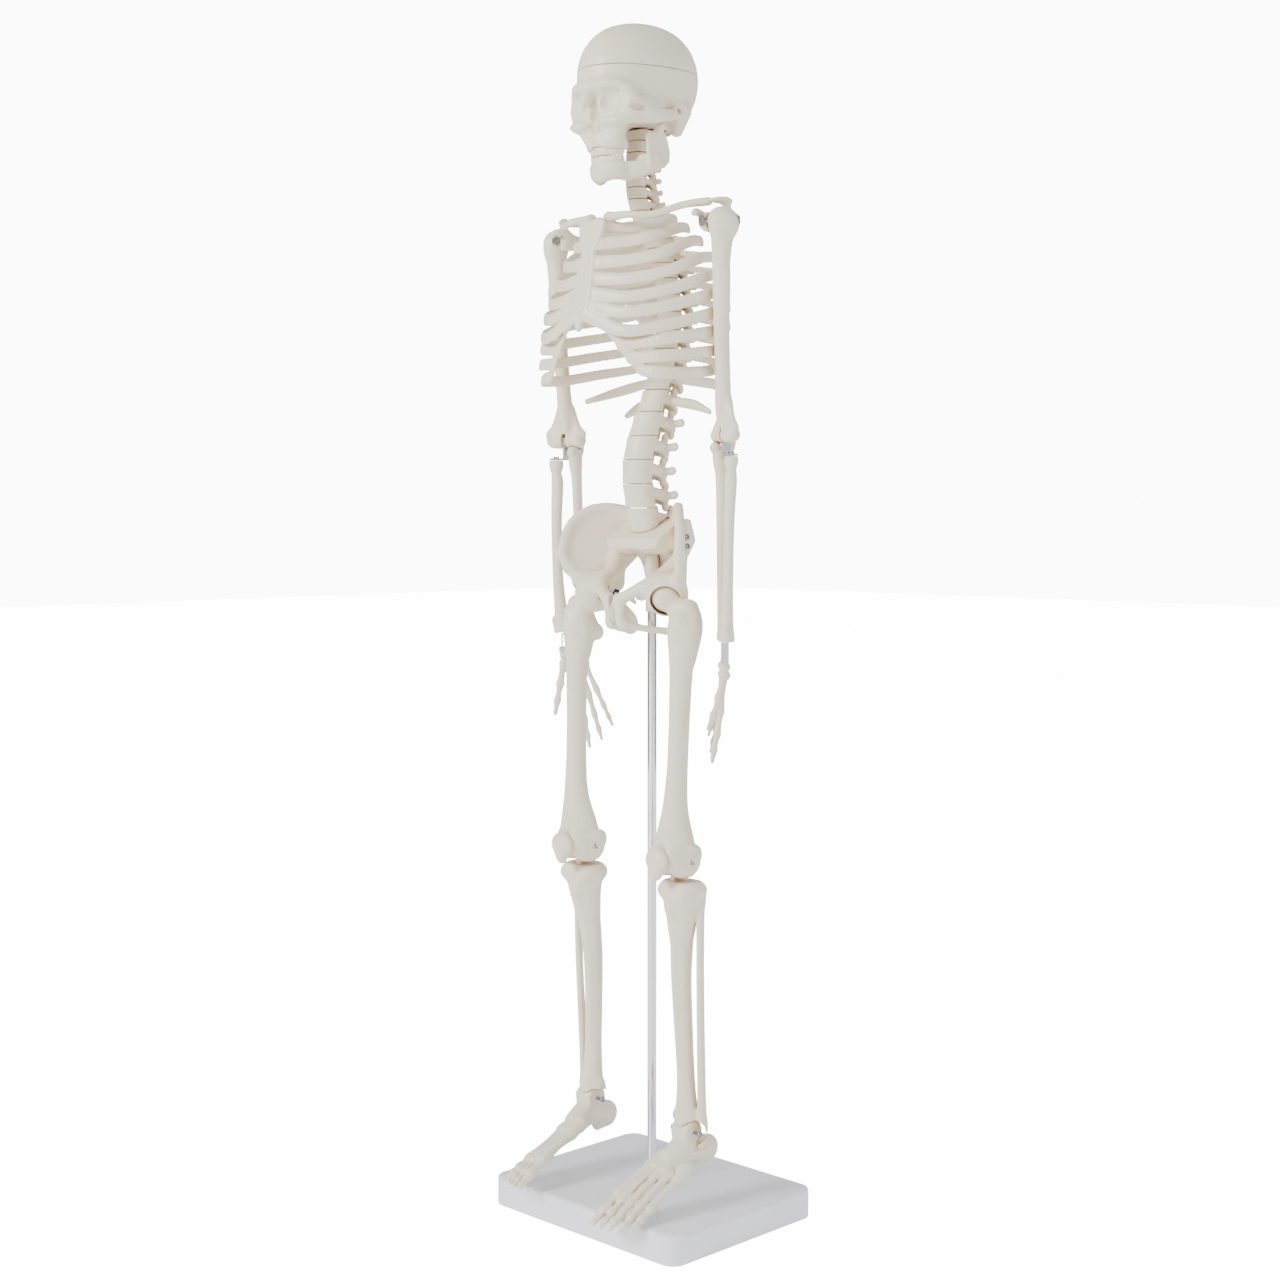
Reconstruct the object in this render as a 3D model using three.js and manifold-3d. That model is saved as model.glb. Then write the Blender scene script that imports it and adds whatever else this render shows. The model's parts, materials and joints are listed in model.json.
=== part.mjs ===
// A half-size human skeleton for the classroom, hung on a chrome rod that stands in a moulded base.
// Millimetres, +Z up. The skeleton faces -Y and its left side is at +X.
// The origin is on the rod's axis, on the underside of the base.
// Left-hand bones are drawn once, and the right side is the same solids mirrored in X.

import * as THREE from "three";
import { mergeVertices } from "three/addons/utils/BufferGeometryUtils.js";
import Module from "manifold-3d";

const wasm = await Module();
wasm.setup();

// Driving dimensions ---------------------------------------------------------------------------

const GAP = 0.35; // between pieces that touch
const BASE = { width: 186, depth: 147, height: 21.4, corner: 11, edge: 2.4 };
const ROD = { radius: 3.35, foot: 8, top: 477.6, spigotRadius: 2, spigotTop: 481 };
const INSERT = { radius: 6.5, bottom: 5 };
const CAP_NUT = { radius: 4.3, bottom: 478, height: 5.2 };
const SLEEVE = { radius: 4.7, bottom: 436.5 };

const SHOULDER = [82, -16.7, 703.5];
const ELBOW = [80, -9.5, 560];
const WRIST = [76.6, -6.6, 406];
const HIP = [38.5, -24.5, 449.6];
const KNEE = [48, -24.5, 267];
const ANKLE = [53.5, -19.5, 74.5];

// Headings of the arm's screws, in degrees from +X. The shoulder's runs backwards as it runs outwards.
const SHOULDER_YAW = 42;
const ELBOW_YAW = -20;
const PALM_YAW = -45;

const HEAD_RADIUS = 11.2; // femoral head
const HUMERAL_RADIUS = 9.6;
const CONDYLE_RADIUS = 12;
const TROCHLEA_RADIUS = 6;
const TALUS_RADIUS = 8.5;
const SCREW_RADIUS = 1.5;

// How each limb hangs, in degrees: swing of the shin, droop and roll of the foot, curl of the hand.
const POSE = {
  left: { shin: 0, droop: 15.5, roll: 7.5, hand: 3 },
  right: { shin: 2.6, droop: 9.5, roll: 1, hand: -2 },
};

const LUMBAR = { count: 5, bottom: 493.6, pitch: 17, width: 26, depth: 19 };
const THORACIC = { bottom: 578.6, top: 718.5, perBlock: 3, blocks: 4, width: 18, depth: 14.5 };
// The sloping seat of the lowest lumbar body.
const SACRAL_PLATE = { front: [-18, 490.5], back: [5, 504.5] };
const CERVICAL = { bottom: 718.5, pitch: 8, width: 16, depth: 11, lowerCount: 5 };
const RIBS = {
  pairs: 10,
  thickness: 1.5,
  stretch: 2.6,
  halfWidth: 73.5,
  widths: [0.45, 0.6, 0.74, 0.85, 0.93, 0.98, 1, 1, 1, 0.95],
  sides: [708, 702, 692, 680, 667.5, 655.5, 642.5, 630, 616.5, 603],
  lows: [702, 692, 678.5, 665.5, 653, 642.5, 630, 621.5, 611, 600.5],
  fronts: [705, 691, 678, 667, 657, 649, 643, 621, 612, 604],
};

const SKULL = { centre: [0, -17, 805], radii: [37, 47, 42], wall: 3, cut: 811.6 };
const JAW_HINGE = [0, -22, 772];

// Materials ------------------------------------------------------------------------------------

const bone = new THREE.MeshStandardMaterial({ color: 0xe6dcc8, roughness: 0.42, metalness: 0 });
const basePlastic = new THREE.MeshStandardMaterial({ color: 0xdfe1f0, roughness: 0.12, metalness: 0 });
const chrome = new THREE.MeshStandardMaterial({ color: 0xd8dadd, roughness: 0.08, metalness: 1 });
const steel = new THREE.MeshStandardMaterial({ color: 0x9a9ca0, roughness: 0.3, metalness: 1 });
const cartilage = new THREE.MeshStandardMaterial({ color: 0xd9cdb2, roughness: 0.5, metalness: 0 });

// Solids ---------------------------------------------------------------------------------------

const vec = (p) => new THREE.Vector3(...p);
const degrees = THREE.MathUtils.degToRad;
const SAGITTAL = new THREE.Matrix4().makeBasis(
  new THREE.Vector3(0, 1, 0),
  new THREE.Vector3(0, 0, 1),
  new THREE.Vector3(1, 0, 0),
);
const UP = new THREE.Vector3(0, 0, 1);
const ALONG = new THREE.Vector3(0, 1, 0);

// A closed three.js geometry as a solid that can be joined and cut.
function solid(geometry) {
  const plain = geometry.index ? geometry.toNonIndexed() : geometry.clone();
  plain.deleteAttribute("normal");
  plain.deleteAttribute("uv");
  const merged = mergeVertices(plain, 1e-4);
  const made = new wasm.Manifold(
    new wasm.Mesh({
      numProp: 3,
      vertProperties: new Float32Array(merged.attributes.position.array),
      triVerts: new Uint32Array(merged.index.array),
    }),
  );
  if (made.volume() <= 0) throw new Error("a solid is inside out");
  return made;
}

const join = (...parts) => parts.reduce((whole, part) => whole.add(part));
const cut = (whole, ...tools) => tools.reduce((left, tool) => left.subtract(tool), whole);

// An ellipsoid, turned by yaw degrees about Z and then pitch degrees about X.
function ball(centre, radii, { yaw = 0, pitch = 0, sides = 8 } = {}) {
  const size = Array.isArray(radii) ? radii : [radii, radii, radii];
  const geometry = new THREE.SphereGeometry(1, sides, Math.round(sides * 0.6));
  geometry.rotateX(Math.PI / 2).scale(...size);
  geometry.rotateZ(degrees(yaw)).rotateX(degrees(pitch));
  return solid(geometry.translate(...centre));
}

// A block between two opposite corners.
function block(low, high) {
  const size = high.map((value, axis) => value - low[axis]);
  const centre = high.map((value, axis) => (value + low[axis]) / 2);
  return solid(new THREE.BoxGeometry(...size).translate(...centre));
}

// A round bar or cone from one point to another.
function bar(from, to, radius, endRadius = radius, sides = 8) {
  const line = vec(to).sub(vec(from));
  const geometry = new THREE.CylinderGeometry(endRadius, radius, line.length(), sides);
  geometry.translate(0, line.length() / 2, 0);
  const turn = new THREE.Quaternion().setFromUnitVectors(ALONG, line.normalize());
  return solid(geometry.applyQuaternion(turn).translate(...from));
}

// A long bone turned about the line between two points: rows of [share of the length, radius].
// Flat squeezes it across its second axis, whose direction is yaw degrees from -Y.
function turned(from, to, rows, { flat = 1, yaw = 0, sides = 8 } = {}) {
  const line = vec(to).sub(vec(from));
  const length = line.length();
  const profile = [new THREE.Vector2(0, 0)];
  rows.forEach(([share, radius]) => profile.push(new THREE.Vector2(radius, share * length)));
  profile.push(new THREE.Vector2(0, length));
  const geometry = new THREE.LatheGeometry(profile, sides);
  geometry.rotateX(Math.PI / 2).scale(1, flat, 1).rotateZ(degrees(yaw));
  const turn = new THREE.Quaternion().setFromUnitVectors(UP, line.normalize());
  return solid(geometry.applyQuaternion(turn).translate(...from));
}

// A bar of constant section bent along a smooth curve through the points.
// Tall stretches the section upwards, so that ribs come out as bands.
function bent(points, radius, { steps = 8, sides = 4, tall = 1 } = {}) {
  const path = new THREE.CatmullRomCurve3(points.map(([x, y, z]) => new THREE.Vector3(x, y, z / tall)));
  const section = new THREE.Shape().absarc(0, 0, radius, 0, 2 * Math.PI);
  const geometry = new THREE.ExtrudeGeometry(section, {
    steps,
    curveSegments: sides / 2,
    bevelEnabled: false,
    extrudePath: path,
  });
  return solid(geometry.scale(1, 1, tall));
}

// The way for a pin or screw of the radius given.
const bore = (from, to, radius) => bar(from, to, radius + GAP, undefined, 6);

// A plate cut to an outline of [across, up] points, its middle plane in the frame given.
function plate(outline, thickness, matrix) {
  const shape = new THREE.Shape(outline.map(([across, up]) => new THREE.Vector2(across, up)));
  const geometry = new THREE.ExtrudeGeometry(shape, { depth: thickness, bevelEnabled: false });
  return solid(geometry.translate(0, 0, -thickness / 2).applyMatrix4(matrix));
}

// The frame whose X runs from origin towards the first point and whose Z is square to both lines.
function frameThrough(origin, towards, also) {
  const x = vec(towards).sub(vec(origin)).normalize();
  const z = x.clone().cross(vec(also).sub(vec(origin))).normalize();
  const y = z.clone().cross(x);
  return new THREE.Matrix4().makeBasis(x, y, z).setPosition(...origin);
}

// A direction in the XY plane, turned by yaw degrees from +X.
const heading = (yaw) => [Math.cos(degrees(yaw)), Math.sin(degrees(yaw)), 0];
const along = (point, direction, distance) =>
  point.map((value, axis) => value + direction[axis] * distance);
const shifted = (point, x, y, z) => [point[0] + x, point[1] + y, point[2] + z];

function meshOf(name, part, material) {
  const { vertProperties, triVerts } = part.getMesh();
  const geometry = new THREE.BufferGeometry();
  geometry.setAttribute("position", new THREE.BufferAttribute(vertProperties, 3));
  geometry.setIndex(new THREE.BufferAttribute(triVerts, 1));
  geometry.computeVertexNormals();
  const mesh = new THREE.Mesh(geometry, material);
  mesh.name = name;
  return mesh;
}

// Stand ----------------------------------------------------------------------------------------

function basePlate() {
  const { width, depth, height, corner, edge } = BASE;
  const x = width / 2 - edge;
  const y = depth / 2 - edge;
  const round = corner - edge;
  const outline = new THREE.Shape();
  outline.absarc(x - round, y - round, round, 0, Math.PI / 2);
  outline.absarc(round - x, y - round, round, Math.PI / 2, Math.PI);
  outline.absarc(round - x, round - y, round, Math.PI, 1.5 * Math.PI);
  outline.absarc(x - round, round - y, round, 1.5 * Math.PI, 2 * Math.PI);
  const upper = new THREE.ExtrudeGeometry(outline, {
    depth: height - 2 * edge,
    bevelThickness: edge,
    bevelSize: edge,
    bevelSegments: 1,
    curveSegments: 3,
  });
  const body = solid(upper.translate(0, 0, edge));
  const well = bar([0, 0, INSERT.bottom - GAP], [0, 0, height + 1], INSERT.radius + GAP, undefined, 12);
  return cut(body, well);
}

function threadedInsert() {
  const outer = bar([0, 0, INSERT.bottom], [0, 0, BASE.height - 0.4], INSERT.radius, undefined, 12);
  const hole = bar([0, 0, ROD.foot - GAP], [0, 0, BASE.height + 1], ROD.radius + GAP, undefined, 12);
  return cut(outer, hole);
}

function supportRod() {
  return join(
    bar([0, 0, ROD.foot], [0, 0, ROD.top], ROD.radius, undefined, 12),
    bar([0, 0, ROD.top - 1], [0, 0, ROD.spigotTop], ROD.spigotRadius),
  );
}

function capNut() {
  const { radius, bottom, height } = CAP_NUT;
  const rows = [[0, radius], [0.45, radius], [0.8, radius * 0.72], [1, radius * 0.25]];
  const dome = turned([0, 0, bottom], [0, 0, bottom + height], rows, { sides: 14 });
  const thread = bar([0, 0, bottom - 1], [0, 0, ROD.spigotTop + GAP], ROD.spigotRadius + GAP);
  return cut(dome, thread);
}

// Spine ----------------------------------------------------------------------------------------

// The middle of the column at a height: lordosis in the loins, kyphosis in the chest.
const column = new THREE.CatmullRomCurve3(
  [
    [-4, 490],
    [-9, 503],
    [-13, 519],
    [-15, 536],
    [-12.5, 553],
    [-6, 570],
    [1, 588],
    [8, 606],
    [14, 628],
    [18, 652],
    [13, 680],
    [2, 700],
    [-9, 714],
    [-15, 727],
    [-17, 745],
    [-15, 772],
  ].map(([y, z]) => new THREE.Vector3(0, y, z)),
);

function columnY(height) {
  let low = 0;
  let high = 1;
  for (let pass = 0; pass < 24; pass += 1) {
    const middle = (low + high) / 2;
    if (column.getPoint(middle).z < height) low = middle;
    else high = middle;
  }
  return column.getPoint(low).y;
}

// One vertebra: its drum, the arch behind it, two side processes and the spine of the bone.
function vertebra({ bottom, top, width, depth, reach, span, drop }) {
  const middle = (bottom + top) / 2;
  const y = columnY(middle);
  const tall = top - bottom;
  const rows = [[0, width / 2], [1, width / 2]];
  const drum = turned([0, y, bottom], [0, y, top], rows, { flat: depth / width, sides: 8 });
  const archY = y + depth * 0.68;
  const low = middle - tall * 0.34;
  const high = middle + tall * 0.3;
  const arch = block([-width * 0.4, y, low], [width * 0.4, archY + 2.5, high]);
  const wings = block([-span, archY - 1.4, middle - 1.5], [span, archY + 1.6, middle + 1.5]);
  const spike = bar([0, archY, middle], [0, y + reach, middle - drop], 2.4, 1.8, 4);
  return join(drum, arch, wings, spike);
}

function lumbarVertebra(level) {
  const { count, bottom, pitch, width, depth } = LUMBAR;
  const low = bottom + (count - level) * pitch;
  const lowest = level === count;
  const shape = vertebra({
    bottom: low + (lowest ? -4 : GAP / 2),
    top: low + pitch - GAP / 2,
    width: width - (count - level) * 0.7,
    depth,
    reach: 27,
    span: 17,
    drop: 3,
  });
  return lowest ? cut(shape, belowSacralPlate(GAP)) : shape;
}

// Everything below the sloping seat of the sacrum, raised by the lift given.
function belowSacralPlate(lift) {
  const [frontY, frontZ] = SACRAL_PLATE.front;
  const [backY, backZ] = SACRAL_PLATE.back;
  const slope = (backZ - frontZ) / (backY - frontY);
  const at = (y) => [y, frontZ + slope * (y - frontY) + lift];
  const behind = [backY + 1, backZ - 10];
  return plate([at(-60), at(backY), behind, [60, behind[1]], [60, 400], [-60, 400]], 100, SAGITTAL);
}

// Heights where thoracic vertebrae meet, growing downwards.
function thoracicEdge(index) {
  const total = THORACIC.perBlock * THORACIC.blocks;
  const share = index / total;
  const growth = 0.6 * share + 0.4 * share * share;
  return THORACIC.top - (THORACIC.top - THORACIC.bottom) * growth;
}

function thoracicBlock(blockIndex) {
  const parts = [];
  for (let step = 0; step < THORACIC.perBlock; step += 1) {
    const index = blockIndex * THORACIC.perBlock + step;
    const last = step === THORACIC.perBlock - 1;
    const bottom = thoracicEdge(index + 1) + (last ? GAP / 2 : 0);
    const top = thoracicEdge(index) + (step === 0 ? -GAP / 2 : 0.4);
    const grown = index / (THORACIC.perBlock * THORACIC.blocks);
    const width = THORACIC.width + 4 * grown;
    const span = 10.5 - 2 * grown;
    parts.push(vertebra({ bottom, top, width, depth: THORACIC.depth, reach: 23, span, drop: 6 }));
  }
  return join(...parts);
}

// The two pairs of floating ribs grow from the lowest block of the chest spine.
function floatingRib(side, index) {
  const z = thoracicEdge(index + 0.5);
  const y = columnY(z) + 7;
  const tip = index === 10 ? [56, -20, 590] : [42, 4, 577];
  const bow = index === 10 ? [40, y + 6, z - 4] : [24, y + 3, z - 3];
  const points = [[5, y, z], bow, tip].map(([x, ...rest]) => [side * x, ...rest]);
  return bent(points, RIBS.thickness, { steps: 5, tall: 1.6 });
}

function cervicalVertebrae(first, count) {
  const parts = [];
  for (let step = 0; step < count; step += 1) {
    const low = CERVICAL.bottom + (first + step) * CERVICAL.pitch;
    const bottom = low + (step === 0 ? GAP / 2 : 0);
    const top = low + CERVICAL.pitch + (step === count - 1 ? -GAP / 2 : 0.4);
    const { width, depth } = CERVICAL;
    parts.push(vertebra({ bottom, top, width, depth, reach: 23, span: 14, drop: 2 }));
  }
  return join(...parts);
}

// Rib cage -------------------------------------------------------------------------------------

// Where a rib pair starts, its heights at the side and in front, where it ends and how wide it is.
function ribMeasures(index) {
  const share = index / (RIBS.pairs - 1);
  return {
    backZ: thoracicEdge(index + 0.5) + 2,
    sideZ: RIBS.sides[index],
    lowZ: RIBS.lows[index],
    frontZ: RIBS.fronts[index],
    wide: RIBS.halfWidth * RIBS.widths[index],
    depthFront: -46 - 22 * Math.sin(share * 0.5 * Math.PI),
  };
}

// The middle of the breastbone at a height: it leans forward as it goes down.
const sternumY = (z) => -57 - ((709 - z) * 15) / 78;

// The lower three pairs end on the gristle, and the others on the breastbone.
function rib(side, index) {
  const { backZ, sideZ, lowZ, frontZ, wide, depthFront } = ribMeasures(index);
  const spineY = columnY(backZ);
  const backY = spineY + 15;
  const middleY = (backY + depthFront) / 2;
  const path = [
    [12.5, spineY + 9, backZ],
    [wide * 0.52, backY + 1, backZ - (backZ - sideZ) * 0.35],
    [wide * 0.87, middleY + (backY - middleY) * 0.52, sideZ + (backZ - sideZ) * 0.3],
    [wide, middleY, sideZ],
    [wide * 0.86, middleY + (depthFront - middleY) * 0.62, lowZ + (sideZ - lowZ) * 0.3],
  ];
  if (index < 7) {
    path.push([wide * 0.5, depthFront, lowZ], [4, sternumY(frontZ), frontZ]);
  } else {
    const [endX, endY] = [[32, -61], [39, -58.5], [46, -55]][index - 7];
    path.push([endX, endY, frontZ]);
  }
  const points = path.map(([x, y, z]) => [side * x, y, z]);
  return bent(points, RIBS.thickness, { steps: 7, tall: RIBS.stretch });
}

function sternum() {
  const outline = [
    [-13, 706], [-5, 709], [5, 709], [13, 706], [10, 694], [6, 690], [8, 668], [9, 650],
    [5, 643], [2.5, 631], [-2.5, 631], [-5, 643], [-9, 650], [-8, 668], [-6, 690], [-10, 694],
  ];
  const top = [0, sternumY(709), 709];
  const tip = [0, sternumY(631), 631];
  const lean = Math.atan2(top[1] - tip[1], top[2] - tip[2]);
  const matrix = new THREE.Matrix4()
    .makeTranslation(0, top[1], top[2])
    .multiply(new THREE.Matrix4().makeRotationX(Math.PI / 2 - lean))
    .multiply(new THREE.Matrix4().makeTranslation(0, -top[2], 0));
  return plate(outline, 4.5, matrix);
}

// The gristle that ties the lower ribs to the breastbone.
function costalMargin(side) {
  const points = [
    [4, -71, 642], [14.4, -67, 638.5], [24.3, -63.5, 630.5], [32, -61, 621],
    [39, -58.5, 612], [46, -55, 604], [52, -51.5, 600],
  ];
  const path = points.map(([x, y, z]) => [side * x, y, z]);
  return bent(path, 2, { steps: 5, tall: 1.6 });
}

function ribCage() {
  const parts = [sternum()];
  for (const side of [-1, 1]) {
    for (let index = 0; index < RIBS.pairs; index += 1) parts.push(rib(side, index));
    parts.push(costalMargin(side));
  }
  return join(...parts);
}

// Shoulder girdle (left) -----------------------------------------------------------------------

function clavicle() {
  const path = [[9, -51, 709.5], [27, -53, 709.5], [44, -44, 709], [60, -30, 715], [70, -19, 717]];
  return bent(path, 2.7, { steps: 8, sides: 8 });
}

const shoulderAxis = heading(SHOULDER_YAW);
const atShoulder = (distance) => along(SHOULDER, shoulderAxis, distance);

function shoulderBlade() {
  const matrix = frameThrough([30, 41, 702], [62, 6, 702], [40, 42, 640]);
  const outline = [[2, -4], [30, -1], [44, -5], [46, 12], [34, 22], [12, 62], [5, 60], [-3, 26]];
  const blade = plate(outline, 2.6, matrix);
  const neck = bar([54, 12, 700], [71, -18, 703.5], 4, 6.4);
  const ridge = bent([[32, 42, 697], [50, 28, 706], [66, 6, 716], [76, -9, 718.5]], 2.4, { steps: 5 });
  const acromion = ball([77, -12, 718.5], [6, 7, 2.4], { yaw: 20 });
  const beak = bent([[69, -14, 705], [66, -24, 710.5], [69, -31, 709]], 2.3, { steps: 3 });
  const headRoom = ball(SHOULDER, HUMERAL_RADIUS + 3 * GAP, { sides: 10 });
  const lug = bar(atShoulder(-12), atShoulder(-8), 6.5);
  const joined = join(blade, neck, ridge, acromion, beak, lug);
  const nutRoom = bar(atShoulder(-24), atShoulder(-12.2), 4.6);
  const clavicleRoom = block([60, -34, 712], [73, -15, 722]);
  return cut(joined, headRoom, nutRoom, clavicleRoom, shoulderBore());
}

const shoulderBore = () => bore(atShoulder(-30), atShoulder(30), SCREW_RADIUS);

function shoulderScrew() {
  return join(
    bar(atShoulder(-14), atShoulder(HUMERAL_RADIUS + 1), SCREW_RADIUS),
    bar(atShoulder(-14.6), atShoulder(-12.2 - GAP), 3.6, 3.6, 6),
    bar(atShoulder(HUMERAL_RADIUS + GAP), atShoulder(HUMERAL_RADIUS + 2.6), 3.6, 3),
  );
}

// Arm (left) -----------------------------------------------------------------------------------

function humerus() {
  const head = ball(SHOULDER, HUMERAL_RADIUS, { sides: 10 });
  const rows = [[0, 6.4], [0.08, 7.2], [0.2, 6], [0.45, 5.2], [0.75, 5.2], [0.9, 6.3], [1, 6]];
  const shaft = turned(shifted(SHOULDER, 0, 0, -4), shifted(ELBOW, 0, 0, 4), rows);
  const elbows = ball(shifted(ELBOW, 0, 0, 4.5), [13.5, 5.2, 8.5], { yaw: ELBOW_YAW });
  const axis = heading(ELBOW_YAW);
  const trochlea = bar(along(ELBOW, axis, -10.5), along(ELBOW, axis, 10.5), TROCHLEA_RADIUS, undefined, 12);
  const pivotWay = bore(along(ELBOW, axis, -20), along(ELBOW, axis, 20), SCREW_RADIUS);
  const slot = solid(
    new THREE.BoxGeometry(3, 30, 30)
      .translate(0, -10.4, -10.4)
      .rotateZ(degrees(ELBOW_YAW))
      .translate(...ELBOW),
  );
  return cut(join(head, shaft, elbows, trochlea), pivotWay, slot, shoulderBore());
}

// The chrome tab in the humerus' slot, its pivot, and the foot screwed to the radius.
function elbowBracket() {
  const axis = heading(ELBOW_YAW);
  const turn = (geometry) => solid(geometry.rotateZ(degrees(ELBOW_YAW)).translate(...ELBOW));
  const tab = turn(new THREE.BoxGeometry(2, 6.4, 16.4).translate(0, 0, -6));
  const foot = turn(new THREE.BoxGeometry(13, 6.4, 1.4).translate(5.5, 0, -13.5));
  const pivot = bar(along(ELBOW, axis, -12.4), along(ELBOW, axis, 12.4), SCREW_RADIUS);
  const screwHead = new THREE.CylinderGeometry(2, 2.3, 1.6, 12).rotateX(Math.PI / 2);
  const screw = turn(screwHead.translate(8, 0, -12.2));
  return join(tab, foot, pivot, screw);
}

const RADIUS_TOP = along(shifted(ELBOW, 0, 0, -14.7), heading(ELBOW_YAW), 8);
const ULNA_TOP = along(shifted(ELBOW, 0, 0, -3), heading(ELBOW_YAW), -8);
const RADIUS_FOOT = [82, -10.5, 419];
const ULNA_FOOT = [71, -3.5, 420];

function radius() {
  const rows = [
    [0, 5.3], [0.05, 5.3], [0.1, 3.9], [0.22, 4.3], [0.5, 3.9], [0.85, 4.8], [0.95, 6.2], [1, 6],
  ];
  return turned(RADIUS_TOP, RADIUS_FOOT, rows);
}

function ulna() {
  const rows = [[0, 5.6], [0.08, 6], [0.2, 4.6], [0.5, 3.8], [0.85, 3], [0.96, 3.6], [1, 3]];
  const shaft = turned(ULNA_TOP, ULNA_FOOT, rows);
  const axis = heading(ELBOW_YAW);
  const facing = { yaw: ELBOW_YAW, sides: 10 };
  const hook = ball(shifted(along(ELBOW, axis, -6), 2.4, 8.2, 2), [4.2, 2.6, 7.5], facing);
  const heel = ball(shifted(along(ELBOW, axis, -7), 2, 5.4, -6), [4.4, 4.6, 6], facing);
  const clear = bar(along(ELBOW, axis, -30), along(ELBOW, axis, 30), TROCHLEA_RADIUS + GAP, undefined, 12);
  const tabRoom = new THREE.BoxGeometry(24, 30, 40).translate(10.4, 0, -10).rotateZ(degrees(ELBOW_YAW));
  return cut(join(shaft, hook, heel), clear, solid(tabRoom.translate(...ELBOW)));
}

// Hand (left) ----------------------------------------------------------------------------------
// Drawn with the pivot at the origin, +X towards the thumb, -Z towards the fingertips and -Y the palm.

function handBones() {
  const wristBones = ball([-3, 0, -8], [11, 4.4, 6.5]);
  const lug = bar([-6, 0, 0], [6.4, 0, 0], 2.6);
  const bridge = block([-6, -1.6, -6], [6, 1.6, 0]);
  const fingers = [
    { root: [5, 0, -10], tip: [12.5, -9, -47] },
    { root: [2, 0, -11], tip: [-1, -5, -69] },
    { root: [-2, 0, -11], tip: [-13, -4, -73] },
    { root: [-6, 0, -11], tip: [-22, -5, -67] },
    { root: [-9, 0, -9], tip: [-30, -7, -56] },
  ];
  const bones = fingers.map(({ root, tip }) => bar(root, tip, 2.7, 1.6, 6));
  return join(wristBones, lug, bridge, ...bones);
}

// The chrome strap on the thumb side of the wrist, with a screw head at each end.
function wristStrap() {
  const face = new THREE.BoxGeometry(1.1, 5.6, 15).translate(7.6, 0, 4.55);
  const lower = new THREE.CylinderGeometry(2.4, 2.4, 2, 12).rotateZ(Math.PI / 2).translate(8.8, 0, 0);
  const bend = new THREE.BoxGeometry(8, 5.6, 1.1).translate(4.15, 0, 11.5);
  return join(solid(face), solid(lower), solid(bend));
}

// Pelvis ---------------------------------------------------------------------------------------

function sacrum() {
  const side = [
    [-19, 486], [-19, 505], [13, 505], [19, 488], [18, 470], [13, 455], [7, 444], [3, 446],
    [4, 460], [5, 474], [3.5, 480], [-8, 484],
  ];
  const frontal = new THREE.Matrix4()
    .makeBasis(new THREE.Vector3(-1, 0, 0), new THREE.Vector3(0, 0, 1), new THREE.Vector3(0, 1, 0))
    .setPosition(0, 6.5, 0);
  const core = plate(side, 24, SAGITTAL);
  const wings = [[-20, 500], [20, 500], [22, 488], [14, 468], [6, 452], [-6, 452], [-14, 468], [-22, 488]];
  const alae = plate(wings, 14, frontal);
  const sleeve = bar([0, 0, SLEEVE.bottom], [0, 0, ROD.top], SLEEVE.radius, undefined, 12);
  const rodWay = bar([0, 0, 420], [0, 0, ROD.top + 1], ROD.radius + GAP, undefined, 12);
  const nutTop = CAP_NUT.bottom + CAP_NUT.height + 1.2;
  const nutRoom = bar([0, 0, ROD.top], [0, 0, nutTop], CAP_NUT.radius + 1.2, undefined, 12);
  const drills = sacroiliacDrills();
  const room = [blade(BLADE.thickness + 2 * GAP), ...drills];
  const otherRoom = room.map((part) => part.mirror([1, 0, 0]));
  const body = join(core, alae).intersect(belowSacralPlate(0));
  return cut(join(body, sleeve), rodWay, nutRoom, ...room, ...otherRoom);
}

// The blade of the hip bone stands upright: [distance along it from its heel, height] points.
const BLADE = { heel: [29, 0, 0], yaw: -45.3, thickness: 5 };
const BLADE_RIM = [
  [-9, 504], [-2, 511], [7.3, 512.8], [14.5, 513.3], [23, 512.1], [31.4, 508], [38.7, 501.4],
  [42.9, 493.5], [46.4, 477.3], [42.6, 464.8], [36.5, 463], [26, 450], [8, 448], [2, 458],
  [3.1, 467], [-7.2, 476], [-12, 488],
];

function blade(thickness) {
  const [x, y] = heading(BLADE.yaw);
  const frame = new THREE.Matrix4()
    .makeBasis(new THREE.Vector3(x, y, 0), new THREE.Vector3(0, 0, 1), new THREE.Vector3(y, -x, 0))
    .setPosition(...BLADE.heel);
  return plate(BLADE_RIM, thickness, frame);
}

function hipBone() {
  const cup = ball(HIP, 15.6, { sides: 10 });
  const flare = blade(BLADE.thickness);
  const ischium = join(bar([34, -18, 446], [28, 6, 426], 7, 5.5), ball([27.5, 6.5, 425], [5, 6.5, 6]));
  const upperRamus = bar([30, -29, 452], [3.2, -37, 443], 4.6, 3.6);
  const pubis = ball([5.2, -37, 438], [3.4, 3.4, 8]);
  const lowerRamus = bar([4.6, -36, 434], [26, 4, 423], 3);
  const joined = join(flare, cup, ischium, upperRamus, pubis, lowerRamus);
  const socket = ball(HIP, HEAD_RADIUS + 1.4, { sides: 10 });
  const mouth = block([HIP[0] + 3, HIP[1] - 30, HIP[2] - 30], [HIP[0] + 40, HIP[1] + 30, HIP[2] + 10]);
  const screwWay = bore([HIP[0] - 30, HIP[1], HIP[2]], HIP, SCREW_RADIUS);
  const nutSeat = bar([HIP[0] - 30, HIP[1], HIP[2]], [HIP[0] - 14.6, HIP[1], HIP[2]], 5);
  const midline = block([-20, -60, 400], [1.6, 40, 540]);
  return cut(joined, socket, mouth, screwWay, nutSeat, midline, ...sacroiliacDrills());
}

const SI_AXIS = [-0.98, 0.05, -0.15];
const SI_HEADS = { upper: [29.5, 5, 490], lower: [31.5, 3.5, 483.5] };

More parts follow.
